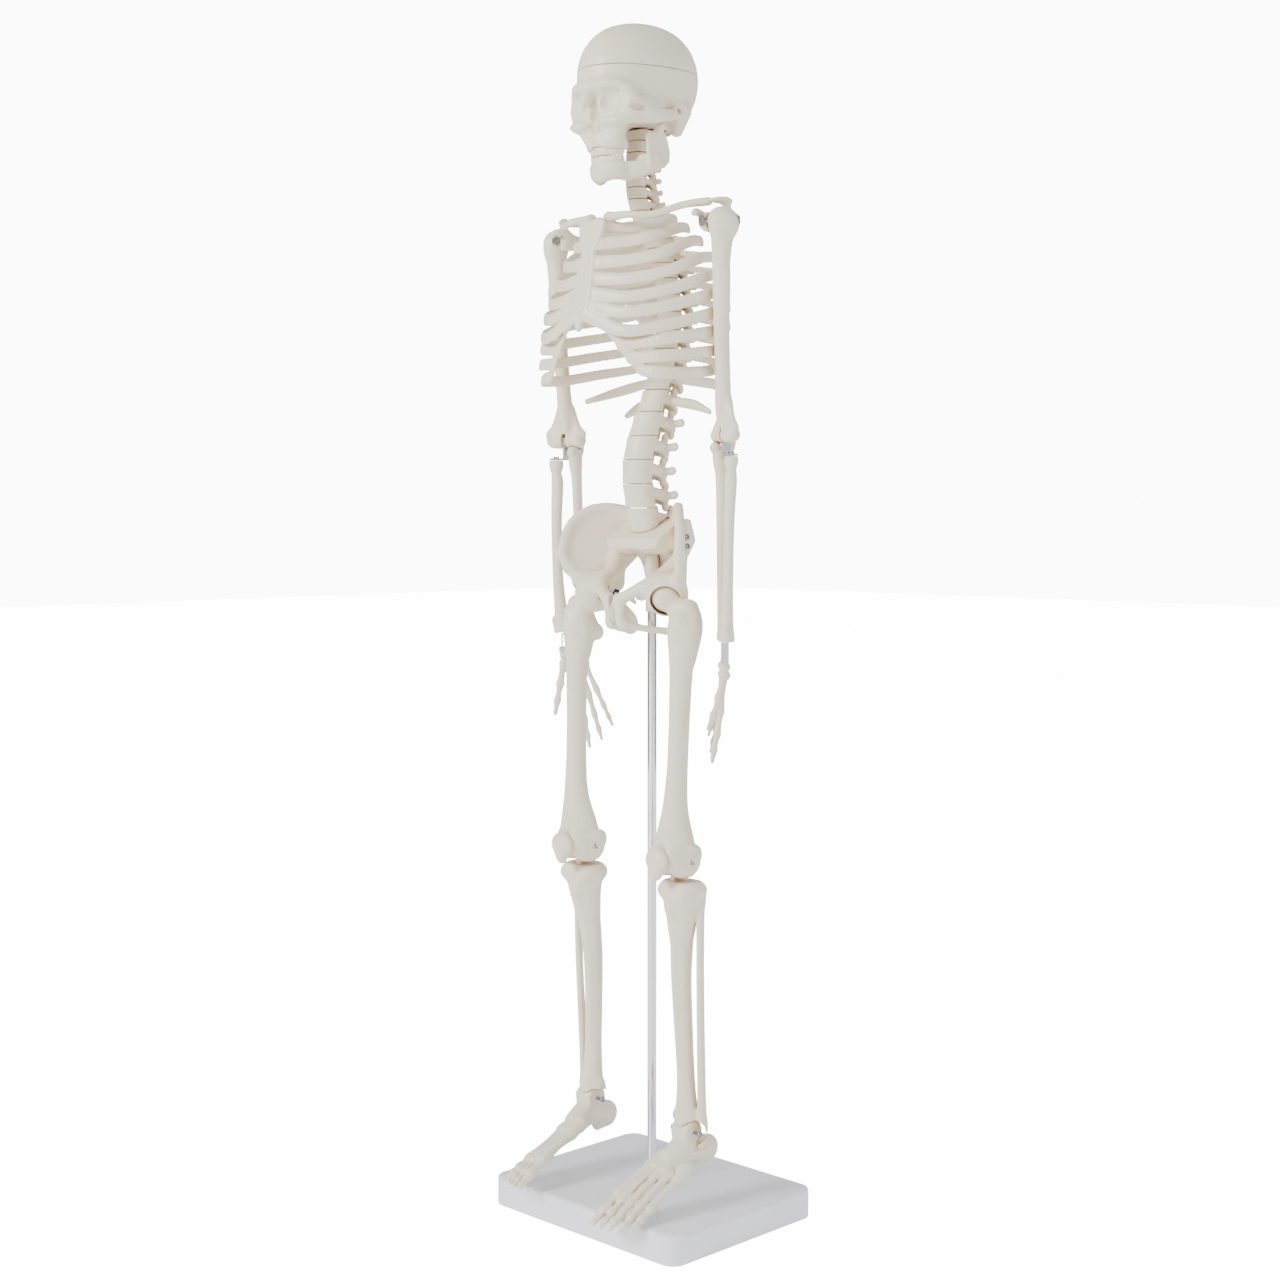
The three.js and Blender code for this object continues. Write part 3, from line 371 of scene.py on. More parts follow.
def skin(field, low, cell):
    """Vertices and quads where the field changes sign (surface nets)."""
    inside = field < 0
    size = np.array(field.shape) - 1
    count = np.zeros(size, np.int8)
    for corner in CORNERS:
        count += inside[tuple(slice(start, start + length) for start, length in zip(corner, size))]
    cells = np.argwhere((count > 0) & (count < 8))
    number = np.full(size, -1)
    number[tuple(cells.T)] = np.arange(len(cells))
    total = np.zeros((len(cells), 3))
    crossings = np.zeros((len(cells), 1))
    for corner in CORNERS:
        for axis in np.flatnonzero(corner == 0):
            step = np.eye(3, dtype=int)[axis]
            first = field[tuple((cells + corner).T)]
            second = field[tuple((cells + corner + step).T)]
            crosses = ((first < 0) != (second < 0))[:, None]
            gap = np.where(first == second, 1, first - second)
            total += crosses * (corner + np.clip(first / gap, 0, 1)[:, None] * step)
            crossings += crosses
    vertices = low + cell * (cells + total / crossings)
    quads = []
    for axis in range(3):
        step, side, rise = (np.eye(3, dtype=int)[(axis + turn) % 3] for turn in range(3))
        shorter = tuple(slice(0, length - part) for length, part in zip(field.shape, step))
        longer = tuple(slice(part, length) for length, part in zip(field.shape, step))
        starts = inside[shorter]
        edges = np.argwhere(starts != inside[longer])
        leaves = starts[tuple(edges.T)]
        ring = [edges - side - rise, edges - rise, edges, edges - side]
        faces = np.stack([number[tuple(corner.T)] for corner in ring], axis=1)
        quads.append(np.where(leaves[:, None], faces, faces[:, ::-1]))
    return vertices, np.vstack(quads)


def relax(vertices, quads, passes=2):
    """Evens out the steps of the grid, without shrinking the form."""
    starts, ends = quads.ravel(), np.roll(quads, -1, axis=1).ravel()
    weight = np.bincount(starts, minlength=len(vertices)) + np.bincount(ends, minlength=len(vertices))
    for strength in (0.5, -0.52) * passes:
        mean = np.empty_like(vertices)
        for axis in range(3):
            column = vertices[:, axis]
            forward = np.bincount(starts, column[ends], len(vertices))
            backward = np.bincount(ends, column[starts], len(vertices))
            mean[:, axis] = (forward + backward) / weight
        vertices = vertices + strength * (mean - vertices)
    return vertices, quads


# Meshes -----------------------------------------------------------------------------------------


def mirrored(surface):
    vertices, faces = surface
    return vertices * [-1, 1, 1], [face[::-1] for face in faces]


def moved(surface, matrix):
    vertices, faces = surface
    turned = vertices @ np.array(matrix.to_3x3()).T + np.array(matrix.translation)
    return turned, faces


def merged(*surfaces):
    """Several closed surfaces as one mesh."""
    vertices, faces, start = [], [], 0
    for points, quads in surfaces:
        vertices.append(points)
        faces.extend([[start + corner for corner in face] for face in np.array(quads, object).tolist()])
        start += len(points)
    return np.vstack(vertices), faces


def piece(name, surface, body, material, nodes=(), sharp=180):
    """A mesh object that rides on a body, and stands for the CAD nodes named."""
    vertices, faces = surface
    mesh = bpy.data.meshes.new(name)
    faces = faces.tolist() if isinstance(faces, np.ndarray) else [list(face) for face in faces]
    mesh.from_pydata((np.asarray(vertices) * MM).tolist(), [], faces)
    mesh.validate()
    mesh.shade_smooth()
    if sharp < 180:
        mesh.set_sharp_from_angle(angle=math.radians(sharp))
    mesh.materials.append(material)
    thing = bpy.data.objects.new(name, mesh)
    bpy.context.scene.collection.objects.link(thing)
    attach(thing, body)
    if nodes:
        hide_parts(*nodes)
    return thing


def lathe(rows, start, end, sides=48):
    """A turned form from start to end: rows of (share of the way, radius), closed at both ends."""
    start, end = np.array(start, float), np.array(end, float)
    axis = Vector(end - start).normalized()
    side = axis.orthogonal().normalized()
    other = axis.cross(side)
    angles = np.linspace(0, 2 * math.pi, sides, endpoint=False)
    ring = np.outer(np.cos(angles), side) + np.outer(np.sin(angles), other)
    vertices = np.vstack([start + (end - start) * share + radius * ring for share, radius in rows])
    faces = []
    for row in range(len(rows) - 1):
        for corner in range(sides):
            after = (corner + 1) % sides
            low, high = row * sides, (row + 1) * sides
            faces.append([low + corner, low + after, high + after, high + corner])
    faces.append(list(range(sides))[::-1])
    faces.append([(len(rows) - 1) * sides + corner for corner in range(sides)])
    return vertices, faces


def bolt(tail, head, radius, head_radius, nut_radius=None, washer_radius=None):
    """A pan-head screw from tail to head, with a hex nut on its tail and a washer under its head."""
    tail, head = np.array(tail, float), np.array(head, float)
    way = (head - tail) / np.linalg.norm(head - tail)
    tall = 0.55 * head_radius
    parts = [lathe([(0, radius * 0.8), (0.03, radius), (1, radius)], tail, head - way * 0.3, 24)]
    dome = [(0, head_radius * 0.96), (0.12, head_radius), (0.45, head_radius * 0.97)]
    dome += [(0.75, head_radius * 0.82), (0.93, head_radius * 0.5), (0.96, head_radius * 0.42)]
    dome += [(0.7, head_radius * 0.36), (0.66, head_radius * 0.08)]
    parts.append(lathe(dome, head - way * tall, head, 32))
    if nut_radius:
        rows = [(0, nut_radius * 0.86), (0.15, nut_radius), (0.85, nut_radius), (1, nut_radius * 0.86)]
        parts.append(lathe(rows, tail + way * 0.6, tail + way * (0.6 + 0.9 * nut_radius), 6))
    if washer_radius:
        under = head - way * (tall + 0.1)
        parts.append(lathe([(0, washer_radius), (1, washer_radius)], under - way * 0.6, under, 40))
    return merged(*parts)


def both_sides(name, surface, body, material, nodes, sharp=180):
    """A piece on the left and its mirror image on the right. Body and node names lack the side."""
    for side, sign in SIDES.items():
        shown = surface if sign > 0 else mirrored(surface)
        own_body = body if body in frame["bodies"] else f"{body}_{side}"
        own_nodes = [f"{node}_{side}" for node in nodes]
        piece(f"{name}_{side}", shown, own_body, material, own_nodes, sharp)


# Materials --------------------------------------------------------------------------------------


class Nodes:
    """Adds shader nodes to a new material and links them."""

    def __init__(self, name):
        self.material = bpy.data.materials.new(name)
        self.material.use_nodes = True
        self.tree = self.material.node_tree
        self.shader = self.tree.nodes["Principled BSDF"]

    def new(self, kind, inputs=None, **settings):
        node = self.tree.nodes.new(kind)
        for key, value in settings.items():
            setattr(node, key, value)
        for key, value in (inputs or {}).items():
            if isinstance(value, bpy.types.NodeSocket):
                self.tree.links.new(value, node.inputs[key])
            else:
                node.inputs[key].default_value = value
        return node

    def set(self, **values):
        for key, value in values.items():
            socket = self.shader.inputs[key.replace("_", " ").replace("  ", " ")]
            if isinstance(value, bpy.types.NodeSocket):
                self.tree.links.new(value, socket)
            else:
                socket.default_value = value

    def noise(self, scale, detail=3.0, roughness=0.5):
        place = self.new("ShaderNodeTexCoord").outputs["Object"]
        inputs = {"Vector": place, "Scale": scale, "Detail": detail, "Roughness": roughness}
        return self.new("ShaderNodeTexNoise", inputs).outputs["Fac"]

    def ramp(self, value, *stops):
        node = self.new("ShaderNodeValToRGB", {"Fac": value})
        for element, (place, colour) in zip(node.color_ramp.elements, (stops[0], stops[-1])):
            element.position, element.color = place, (*colour, 1)
        for place, colour in stops[1:-1]:
            node.color_ramp.elements.new(place).color = (*colour, 1)
        return node.outputs["Color"]

    def mix(self, share, first, second, blend="MIX"):
        node = self.new("ShaderNodeMix", data_type="RGBA", blend_type=blend)
        for name, value in (("Factor", share), ("A", first), ("B", second)):
            wanted = "VALUE" if name == "Factor" else "RGBA"
            socket = next(s for s in node.inputs if s.name == name and s.type == wanted)
            if isinstance(value, bpy.types.NodeSocket):
                self.tree.links.new(value, socket)
            else:
                socket.default_value = value if name == "Factor" else (*value, 1)
        return next(s for s in node.outputs if s.type == "RGBA")


def bone_material(name, pale, tan, glaze=0.42):
    """Moulded ivory vinyl: cloudy, with a faint grain and a soft shine, and with painted shade in its
    hollows: a deeper tan wherever ambient occlusion finds them.
    """
    nodes = Nodes(name)
    clouds = nodes.ramp(nodes.noise(28, 4), (0.36, tan), (0.62, pale))
    body = nodes.mix(0.35, pale, clouds)
    # Painted shade: ambient occlusion darkens the colour to a deeper tan in hollows and where parts come
    # close.
    hollow = nodes.new("ShaderNodeAmbientOcclusion", {"Distance": 9 * MM}, samples=6).outputs["AO"]
    painted_shade_colour = tuple(part * shade for part, shade in zip(tan, (0.86, 0.72, 0.52)))
    nodes.set(Base_Color=nodes.mix(nodes.ramp(hollow, (0.18, (0, 0, 0)), (0.72, (1, 1, 1))), painted_shade_colour, body))
    grain = nodes.noise(620, 3, 0.6)
    dents = nodes.noise(95, 2)
    height = nodes.mix(0.35, dents, grain)
    bump = nodes.new("ShaderNodeBump", {"Height": height, "Strength": 0.22, "Distance": 0.35 * MM})
    nodes.set(Normal=bump.outputs["Normal"])
    shine = nodes.ramp(nodes.noise(55, 2), (0.35, (glaze - 0.07,) * 3), (0.7, (glaze + 0.08,) * 3))
    nodes.set(Roughness=shine, Subsurface_Weight=0.12, Subsurface_Scale=0.004, IOR=1.5)
    nodes.shader.inputs["Subsurface Radius"].default_value = (1.0, 0.62, 0.36)
    return nodes.material


def base_material():
    """Glossy white moulding with a cold tint, very slightly uneven."""
    nodes = Nodes("base gloss")
    tint = nodes.ramp(nodes.noise(9, 2), (0.35, (0.80, 0.81, 0.90)), (0.7, (0.86, 0.865, 0.93)))
    waves = nodes.new(
        "ShaderNodeBump", {"Height": nodes.noise(40, 1), "Strength": 0.04, "Distance": 0.4 * MM}
    )
    nodes.set(Base_Color=tint, Roughness=0.09, Coat_Weight=0.6, Coat_Roughness=0.03, IOR=1.5)
    nodes.set(Normal=waves.outputs["Normal"])
    return nodes.material


def metal_material(name, colour, rough, brushed=0.0):
    """Plated or bright metal, with fine marks in its polish."""
    nodes = Nodes(name)
    marks = nodes.noise(420, 3)
    low, high = max(rough - 0.02, 0.01), rough + 0.05 + brushed
    nodes.set(Roughness=nodes.ramp(marks, (0.35, (low,) * 3), (0.75, (high,) * 3)), Metallic=1.0)
    tone = nodes.ramp(nodes.noise(60, 2), (0.3, tuple(part * 0.93 for part in colour)), (0.7, colour))
    nodes.set(Base_Color=tone)
    return nodes.material


BONE = bone_material("ivory vinyl", (0.83, 0.76, 0.63), (0.75, 0.64, 0.47))
RIB = bone_material("rib vinyl", (0.84, 0.77, 0.64), (0.76, 0.66, 0.49), 0.36)
TEETH = bone_material("tooth vinyl", (0.86, 0.80, 0.68), (0.79, 0.70, 0.55), 0.28)
GRISTLE = bone_material("gristle vinyl", (0.80, 0.74, 0.62), (0.72, 0.63, 0.50), 0.5)
BASE = base_material()
CHROME = metal_material("mirror chrome", (0.90, 0.91, 0.93), 0.035)
STEEL = metal_material("screw steel", (0.33, 0.34, 0.36), 0.22, 0.12)


# Skull ------------------------------------------------------------------------------------------

def vault(shrink):
    """The brain case, smaller by shrink: a broad back and a narrower forehead."""
    back = egg((0, -1.5, 807.5), np.array([35.6, 30, 37.4]) - shrink)
    front = egg((0, -30, 808.5), np.array([30.5, 31, 33.5]) - shrink)
    crown = egg((0, -14.5, 810.5), np.array([32.6, 39, 34.4]) - shrink)
    return [(back, 3), (front, 16), (crown, 10)]


def temples():
    """The shallow hollows behind the eye sockets."""
    return [carve(egg((side * 40, -42, 799), (8, 14, 14), (0, 0, side * -16)), 9) for side in BOTH]


def skull_outside():
    """The brain case with its face, cheek arches and the knobs behind the ears."""
    steps = [add(shape, blend) for shape, blend in vault(0)]
    steps += temples()
    steps += [
        add(egg((0, -13, 780), (25, 27, 9.5)), 7),
        add(egg((0, 19, 797), (15, 8.5, 12)), 8),
        add(egg((0, -43.6, 783), (24, 15, 15)), 6),
        add(egg((0, -43.6, 766), (12.5, 12.6, 15)), 5),
    ]
    for side in BOTH:
        steps.append(add(limb([(side * 29.5, -3, 784), (side * 28, -4, 770.5)], [8.5, 4]), 5))
        brow = [(side * 3, -58.6, 797), (side * 14, -59.2, 798.4)]
        brow += [(side * 22.5, -53.2, 797), (side * 26.6, -47.6, 791)]
        steps.append(add(limb(brow, [2.6, 2.6, 2.5, 2.5], steps=4), 7))
        steps.append(add(limb([(side * 26.2, -48, 793), (side * 25, -48.6, 781)], [2.6, 3.2]), 5))
        cheek = [(side * 11, -54.5, 773.5), (side * 19.5, -52.6, 773.5), (side * 25.5, -46.6, 775)]
        cheek += [(side * 31.5, -38.5, 776), (side * 36.2, -28, 777.5)]
        cheek += [(side * 35.6, -16, 780), (side * 33, -8, 783)]
        tall = [(0, 0, 1)] * 3 + [(1, 0, 0)] * 4
        steps += [
            add(limb(cheek, [5.6, 6, 5.8, 4.8, 4.4, 4, 3.6], 0.55, tall, 4), 3),
            add(egg((side * 29, -34, 784), (5.5, 17, 7)), 5),
            add(limb([(side * 17, -49.6, 774), (side * 10.5, -46, 761)], [6, 5.2]), 5),
        ]
    nose = [(0, -59, 799), (0, -61.6, 793), (0, -64.8, 787), (0, -67, 783)]
    steps.append(add(limb(nose, [4.6, 4, 3.6, 2.6], steps=3), 3.5))
    arc = [(12.4 * math.sin(t), -38.5 - 12.4 * math.cos(t), 759) for t in np.radians(np.arange(-82, 83, 12))]
    steps.append(add(limb(arc, 4.8), 4))
    return steps


def skull_hollows():
    """Eye sockets, nose, the gaps inside the cheeks and the room for the neck and the jaw."""
    steps = []
    for side in BOTH:
        steps += [
            carve(egg((side * 15, -60.6, 787), (8, 8.6, 7.8), (0, side * -8, side * 14)), 1.2),
            carve(egg((side * 3, -59.6, 770.8), (4, 7.4, 4.9)), 1),
            carve(egg((side * 35.2, -48, 782.3), (7, 8.5, 3), (-8, 0, side * 12)), 1.2),
            carve(egg((side * 26.5, -35, 762), (9, 11.5, 12.5)), 2.5),
            carve(egg((side * 36.5, -9.5, 783.5), (4, 2, 2)), 1),
            carve(egg(tuple(JAW_HINGE + (side * 31, 0, 0.5)), (6.4, 6.6, 5.8)), 1.2),
        ]
    steps += [
        carve(egg((0, -60.2, 777), (4.2, 7.4, 5.4)), 1),
        carve(egg((0, -43, 753.5), (10.5, 13, 9)), 3),
        carve(block((-60, -31, 735), (60, 60, 767)), 3),
        carve(block((-60, -90, 735), (60, 60, 756.4)), 0.6),
        carve(block((-24, -31, 740), (24, 10, NECK_TOP + 0.6)), 0.8),
        carve(limb([(0, -15, 770), (0, -15, 786)], 5.6), 1),
    ]
    return steps


def brain_room():
    """The hollow of the brain case, with its floor raised over the eye sockets."""
    steps = [carve(shape, 1) for shape, _ in vault(3.2)]
    steps.append(add(egg((0, -46, 786), (25, 12, 9)), 3))
    return steps


def tooth_row(z_root, z_edge, radius, depth, centre_y, reach):
    """Sixteen teeth on an arc, broad at the back and flat at the front."""
    steps = []
    for index in range(16):
        angle = math.radians((index - 7.5) * 2 * reach / 15)
        out = np.array([radius * math.sin(angle), -depth * math.cos(angle)])
        back = abs(index - 7.5) > 3.5
        yaw = math.degrees(math.atan2(out[0] / radius**2, -out[1] / depth**2))
        radii = (1.8, 2.1 if back else 1.4, abs(z_edge - z_root) * 0.62)
        centre = (out[0], centre_y + out[1], (z_root + z_edge) / 2)
        steps.append(add(egg(centre, radii, (0, 0, yaw)), 0.5))
    low, high = sorted((z_root, z_edge))
    steps.append(keep(block((-40, -90, low - 1.6), (40, 20, high)), 0.5))
    return steps


def skull():
    base = skull_outside() + brain_room() + skull_hollows()
    base.append(keep(block((-80, -90, 700), (80, 80, SKULL_CUT), 0.2), 0.2))
    piece("skull_base_visual", sculpt(base, FINE + 0.1), "head", BONE, ["skull_base"])
    cap = [add(shape, blend) for shape, blend in vault(0)] + temples()
    cap += [carve(shape, 1) for shape, _ in vault(3.2)]
    cap.append(keep(block((-80, -90, SKULL_CUT + 0.15), (80, 80, 900), 0.15), 0.2))
    piece("skull_cap_visual", sculpt(cap, FINE + 0.1), "skull_cap", BONE, ["skull_cap"])
    upper = sculpt(tooth_row(758.5, 752.6, 13.4, 14, -38.8, 74), 0.45)
    piece("upper_teeth", upper, "head", TEETH)


def mandible():
    """The jawbone: a tall body round the chin, and two broad upright branches."""
    arc = []
    for angle in np.radians(np.arange(-90, 91, 12)):
        arc.append((14 * math.sin(angle), -37 - 11.6 * math.cos(angle), 743.6))
    steps = [add(limb(arc, 8, 0.42, [(x, y + 37, 0) for x, y, _ in arc]), 2)]
    steps.append(add(egg((0, -48.8, 738.6), (7, 3.6, 4)), 3))
    for side in BOTH:
        body = [(side * 14, -38, 743.8), (side * 21, -33, 745), (side * 26.6, -27, 747.5)]
        out = (side * 0.8, -0.6, 0)
        steps.append(add(limb(body, [8, 7.6, 7], 0.36, out, 3), 3))
        steps.append(add(plate(RAMUS, 3.4, (side * 27.6, 0, 0), (0, 1, 0), (0, 0, 1), soft=1.4), 3))
        neck = [(side * 28, -24, 763), (side * 29.6, -22.6, 769), tuple(JAW_HINGE + (side * 30.6, 0, -0.2))]
        steps.append(add(limb(neck, [3.4, 3, 3.6], 0.8, (1, 0, 0)), 1.5))
        steps.append(carve(egg((side * 9.4, -47.4, 742.5), (0.9, 3, 0.9)), 0.6))
    steps.append(carve(egg((0, -34.5, 746), (10.6, 10, 22)), 2))
    steps.append(carve(block((-30, -70, 748.2), (30, -33.6, 760), 2), 0.8))
    surface = sculpt(steps, FINE + 0.05)
    piece("mandible_visual", surface, "jaw", BONE, ["mandible"])
    lower = sculpt(tooth_row(746.5, 752.3, 12.8, 12.8, -38.4, 74), 0.45)
    piece("lower_teeth", lower, "jaw", TEETH)


# Spine ------------------------------------------------------------------------------------------


def vertebra(bottom, top, width, depth, reach, span, drop, sweep=0.0, hole=True):
    """One vertebra: its drum, its arch, the joint knobs, the side processes and the spine."""
    middle, tall = (bottom + top) / 2, top - bottom
    y = column_y(middle)
    wide, back = width / 2, y + depth / 2
    steps = [add(drum((0, y, middle), (wide, depth / 2), tall / 2, 0.06, 0.7, column_y), 0.6)]
    arch = y + depth * 0.5 + wide * 0.62
    for side in BOTH:
        pedicle = [(side * wide * 0.62, back - 2, middle + tall * 0.12)]
        pedicle += [(side * wide * 0.66, arch - 1.5, middle)]
        steps.append(add(limb(pedicle, tall * 0.22 + 0.6, 0.8, (1, 0, 0)), 1.5))
        lamina = [(side * wide * 0.62, arch - 1, middle), (0, arch + wide * 0.34, middle - tall * 0.05)]
        steps.append(add(limb(lamina, [tall * 0.34, tall * 0.3], 0.55, (0, 1, 0.2)), 1.2))
        tip = (side * span, arch + 1.2 + sweep, middle + tall * 0.04)
        process = [(side * wide * 0.6, arch - 1, middle), (side * (wide * 0.6 + span) / 2, arch, middle), tip]
        radii = [tall * 0.12 + 1.4, tall * 0.1 + 1.1, tall * 0.12 + 1.2]
        steps.append(add(limb(process, radii, 0.8, (0, 1, 0)), 1.4))
        for rise in (0.4, -0.44):
            knob = (side * wide * 0.6, arch + 1.4, middle + tall * rise)
            steps.append(add(egg(knob, (2.8, 2.6, tall * 0.17 + 1)), 1.2))
    spike = [(0, arch + wide * 0.2, middle - tall * 0.05), (0, y + reach - 1.5, middle - drop)]
    steps.append(add(limb(spike, [tall * 0.3, 2 + tall * 0.14], 0.45, (1, 0, 0)), 1.5))
    if hole:
        canal = [(0, back + wide * 0.3, bottom - 9), (0, back + wide * 0.3, top + 9)]
        steps.append(carve(limb(canal, wide * 0.36), 1))
    return steps


def below_seat(lift):
    """Everything under the sloping seat of the sacrum."""
    (y0, z0), (y1, z1) = SACRAL_SEAT
    slope = (z1 - z0) / (y1 - y0)
    seat = [(y, z0 + slope * (y - y0) + lift) for y in (-60, y1)]
    outline = [*seat, (y1 + 2, z1 - 8), (60, z1 - 8), (60, 380), (-60, 380)]
    return plate(outline, 140, (0, 0, 0), (0, 1, 0), (0, 0, 1), soft=0.3)


def thoracic_edge(index):
    share = index / THORACIC["count"]
    return THORACIC["top"] - (THORACIC["top"] - THORACIC["bottom"]) * (0.6 * share + 0.4 * share**2)


def floating_rib(side, index):
    z = thoracic_edge(index + 0.5)
    y = column_y(z) + 7
    bow = (side * 44, y + 4, z - 5) if index == 10 else (side * 26, y + 7, z - 3)
    tip = (side * 70, 3, 589) if index == 10 else (side * 41.5, 16, 578)
    points = [(side * 6, y, z), bow, tip]
    return limb(points, [2.8, 3.9, 2.2], 0.42, [(0, 1, 0), (side * 0.5, 0.8, 0), (side * 0.9, 0.4, 0)], 8)


def spine():
    for level in range(1, LUMBAR["count"] + 1):
        bottom = LUMBAR["bottom"] + (LUMBAR["count"] - level) * LUMBAR["pitch"]
        lowest = level == LUMBAR["count"]
        width = 26 - (LUMBAR["count"] - level) * 0.7
        low, high = bottom + (-4 if lowest else 0.13), bottom + LUMBAR["pitch"] - 0.13
        steps = vertebra(low, high, width, 19, 27, 17, 3)
        if lowest:
            steps.append(carve(below_seat(0.35), 0.2))
        name = f"lumbar_vertebra_{level}"
        piece(f"{name}_visual", sculpt(steps, FINE), "stand", BONE, [name])
    for index in range(THORACIC["count"]):
        share = index / THORACIC["count"]
        low, high = thoracic_edge(index + 1) + 0.18, thoracic_edge(index) - 0.18
        steps = vertebra(low, high, 18 + 4 * share, 14.5, 23, 12 - 3 * share, 6, sweep=2)
        if index >= 10:
            steps += [add(floating_rib(side, index), 1.5) for side in BOTH]
        first = index // 3 * 3 + 1
        node = f"thoracic_vertebrae_{first}_{first + 2}"
        piece(f"thoracic_vertebra_{index + 1}", sculpt(steps, FINE), "stand", BONE, [node])
    for index in range(CERVICAL["count"]):
        low = CERVICAL["bottom"] + index * CERVICAL["pitch"]
        node = "cervical_vertebrae_3_7" if index < 5 else "cervical_vertebrae_1_2"
        width, depth = (17, 11.5) if index < 6 else (21, 9)
        reach = [24, 22, 20, 19, 19, 21, 13][index]
        span = [12.5, 12, 11.5, 11.5, 11.5, 12, 14][index]
        steps = vertebra(low + 0.2, low + CERVICAL["pitch"] - 0.2, width, depth, reach, span, 2)
        steps.append(keep(block((-40, -60, 690), (40, 60, NECK_TOP - 0.15), 0.2), 0.2))
        piece(f"cervical_vertebra_{7 - index}", sculpt(steps, FINE), "stand", BONE, [node])


# Rib cage ---------------------------------------------------------------------------------------

def sternum_y(z):
    return -57 - (709 - z) * 15 / 78


def rib_points(side, index):
    share = index / (RIB_PAIRS - 1)
    back_z = thoracic_edge(index + 0.5) + 2
    wide = RIB_HALF_WIDTH * RIB_WIDTHS[index]
    side_z, low, front = RIB_SIDES[index], RIB_LOWS[index], RIB_FRONTS[index]
    depth_front = -46 - 22 * math.sin(share * math.pi / 2)
    spine_y = column_y(back_z)
    back_y = spine_y + 15
    middle_y = (back_y + depth_front) / 2
    points = [
        (11.5, spine_y + 9, back_z),
        (wide * 0.52, back_y + 1, back_z - (back_z - side_z) * 0.35),
        (wide * 0.87, middle_y + (back_y - middle_y) * 0.52, side_z + (back_z - side_z) * 0.3),
        (wide, middle_y, side_z),
        (wide * 0.86, middle_y + (depth_front - middle_y) * 0.62, low + (side_z - low) * 0.3),
    ]
    if index in RIB_ENDS:
        points.append((*RIB_ENDS[index], front))
    else:
        points += [(wide * 0.5, depth_front, low), (5, sternum_y(front), front)]
    return [(side * x, y, z) for x, y, z in points]


def outward(point):
    """The way out of the chest at a point on a rib."""
    return (point[0] / 70**2, (point[1] + 17) / 52**2, 0.15 / 60)


def rib(side, index):
    """A flat band, narrower at the spine and spreading into gristle in front."""
    points = rib_points(side, index)
    radii = [2.3, 3.3, 3.9, 4.1, 4.3, 4.5, 5.2][: len(points)]
    if index == 0:
        radii = [2.2, 3, 3.4, 3.6, 3.8, 4.2, 4.6]
    return limb(points, radii, 0.34, [outward(point) for point in points], 7)


def sternum():
    outline = [(-13, 706), (-5, 709), (0, 707.4), (5, 709), (13, 706), (11.5, 699), (9.5, 692), (6.4, 689)]
    outline += [(7, 680), (8.4, 668), (9.2, 652), (7.4, 645), (4, 641.5), (2.8, 633), (0, 630.5)]
    outline += [(-x, z) for x, z in reversed(outline[8:14])] + [(-6.4, 689), (-9.5, 692), (-11.5, 699)]
    lean = Vector((0, sternum_y(709) - sternum_y(631), 78)).normalized()
    top = np.array([0, sternum_y(709), 709])
    flat = [(x, (z - 709) / lean.z) for x, z in outline]
    return plate(flat, 4.4, top, (1, 0, 0), tuple(lean), soft=1.8)


def costal_margin(side):
    points = [(side * x, y, z) for x, y, z in MARGIN]
    return limb(points, [3.6, 4.2, 4, 3.8, 3.7, 3.7, 3.2], 0.42, [outward(point) for point in points], 6)


def rib_cage():
    steps = [add(sternum(), 3)]
    for side in BOTH:
        steps += [add(rib(side, index), 1.6) for index in range(RIB_PAIRS)]
        steps.append(add(costal_margin(side), 2.5))
    piece("rib_cage_visual", sculpt(steps, CELL), "stand", RIB, ["rib_cage"])


# Shoulder and arm (left) ------------------------------------------------------------------------


def along(point, direction, distance):
    return np.array(point, float) + np.array(direction) * distance


def clavicle():
    path = [(9, -51, 709.5), (27, -53, 709.5), (44, -44, 709), (60, -30, 715), (71, -18.5, 717.2)]
    steps = [add(limb(path, [4.2, 3.1, 2.9, 3.1, 3.6], 0.82, (0, 0, 1), 6), 1)]
    steps.append(add(egg((9.5, -50.5, 709), (3.4, 4.4, 4.6)), 2))
    both_sides("clavicle_visual", sculpt(steps, FINE), "stand", BONE, ["clavicle"])


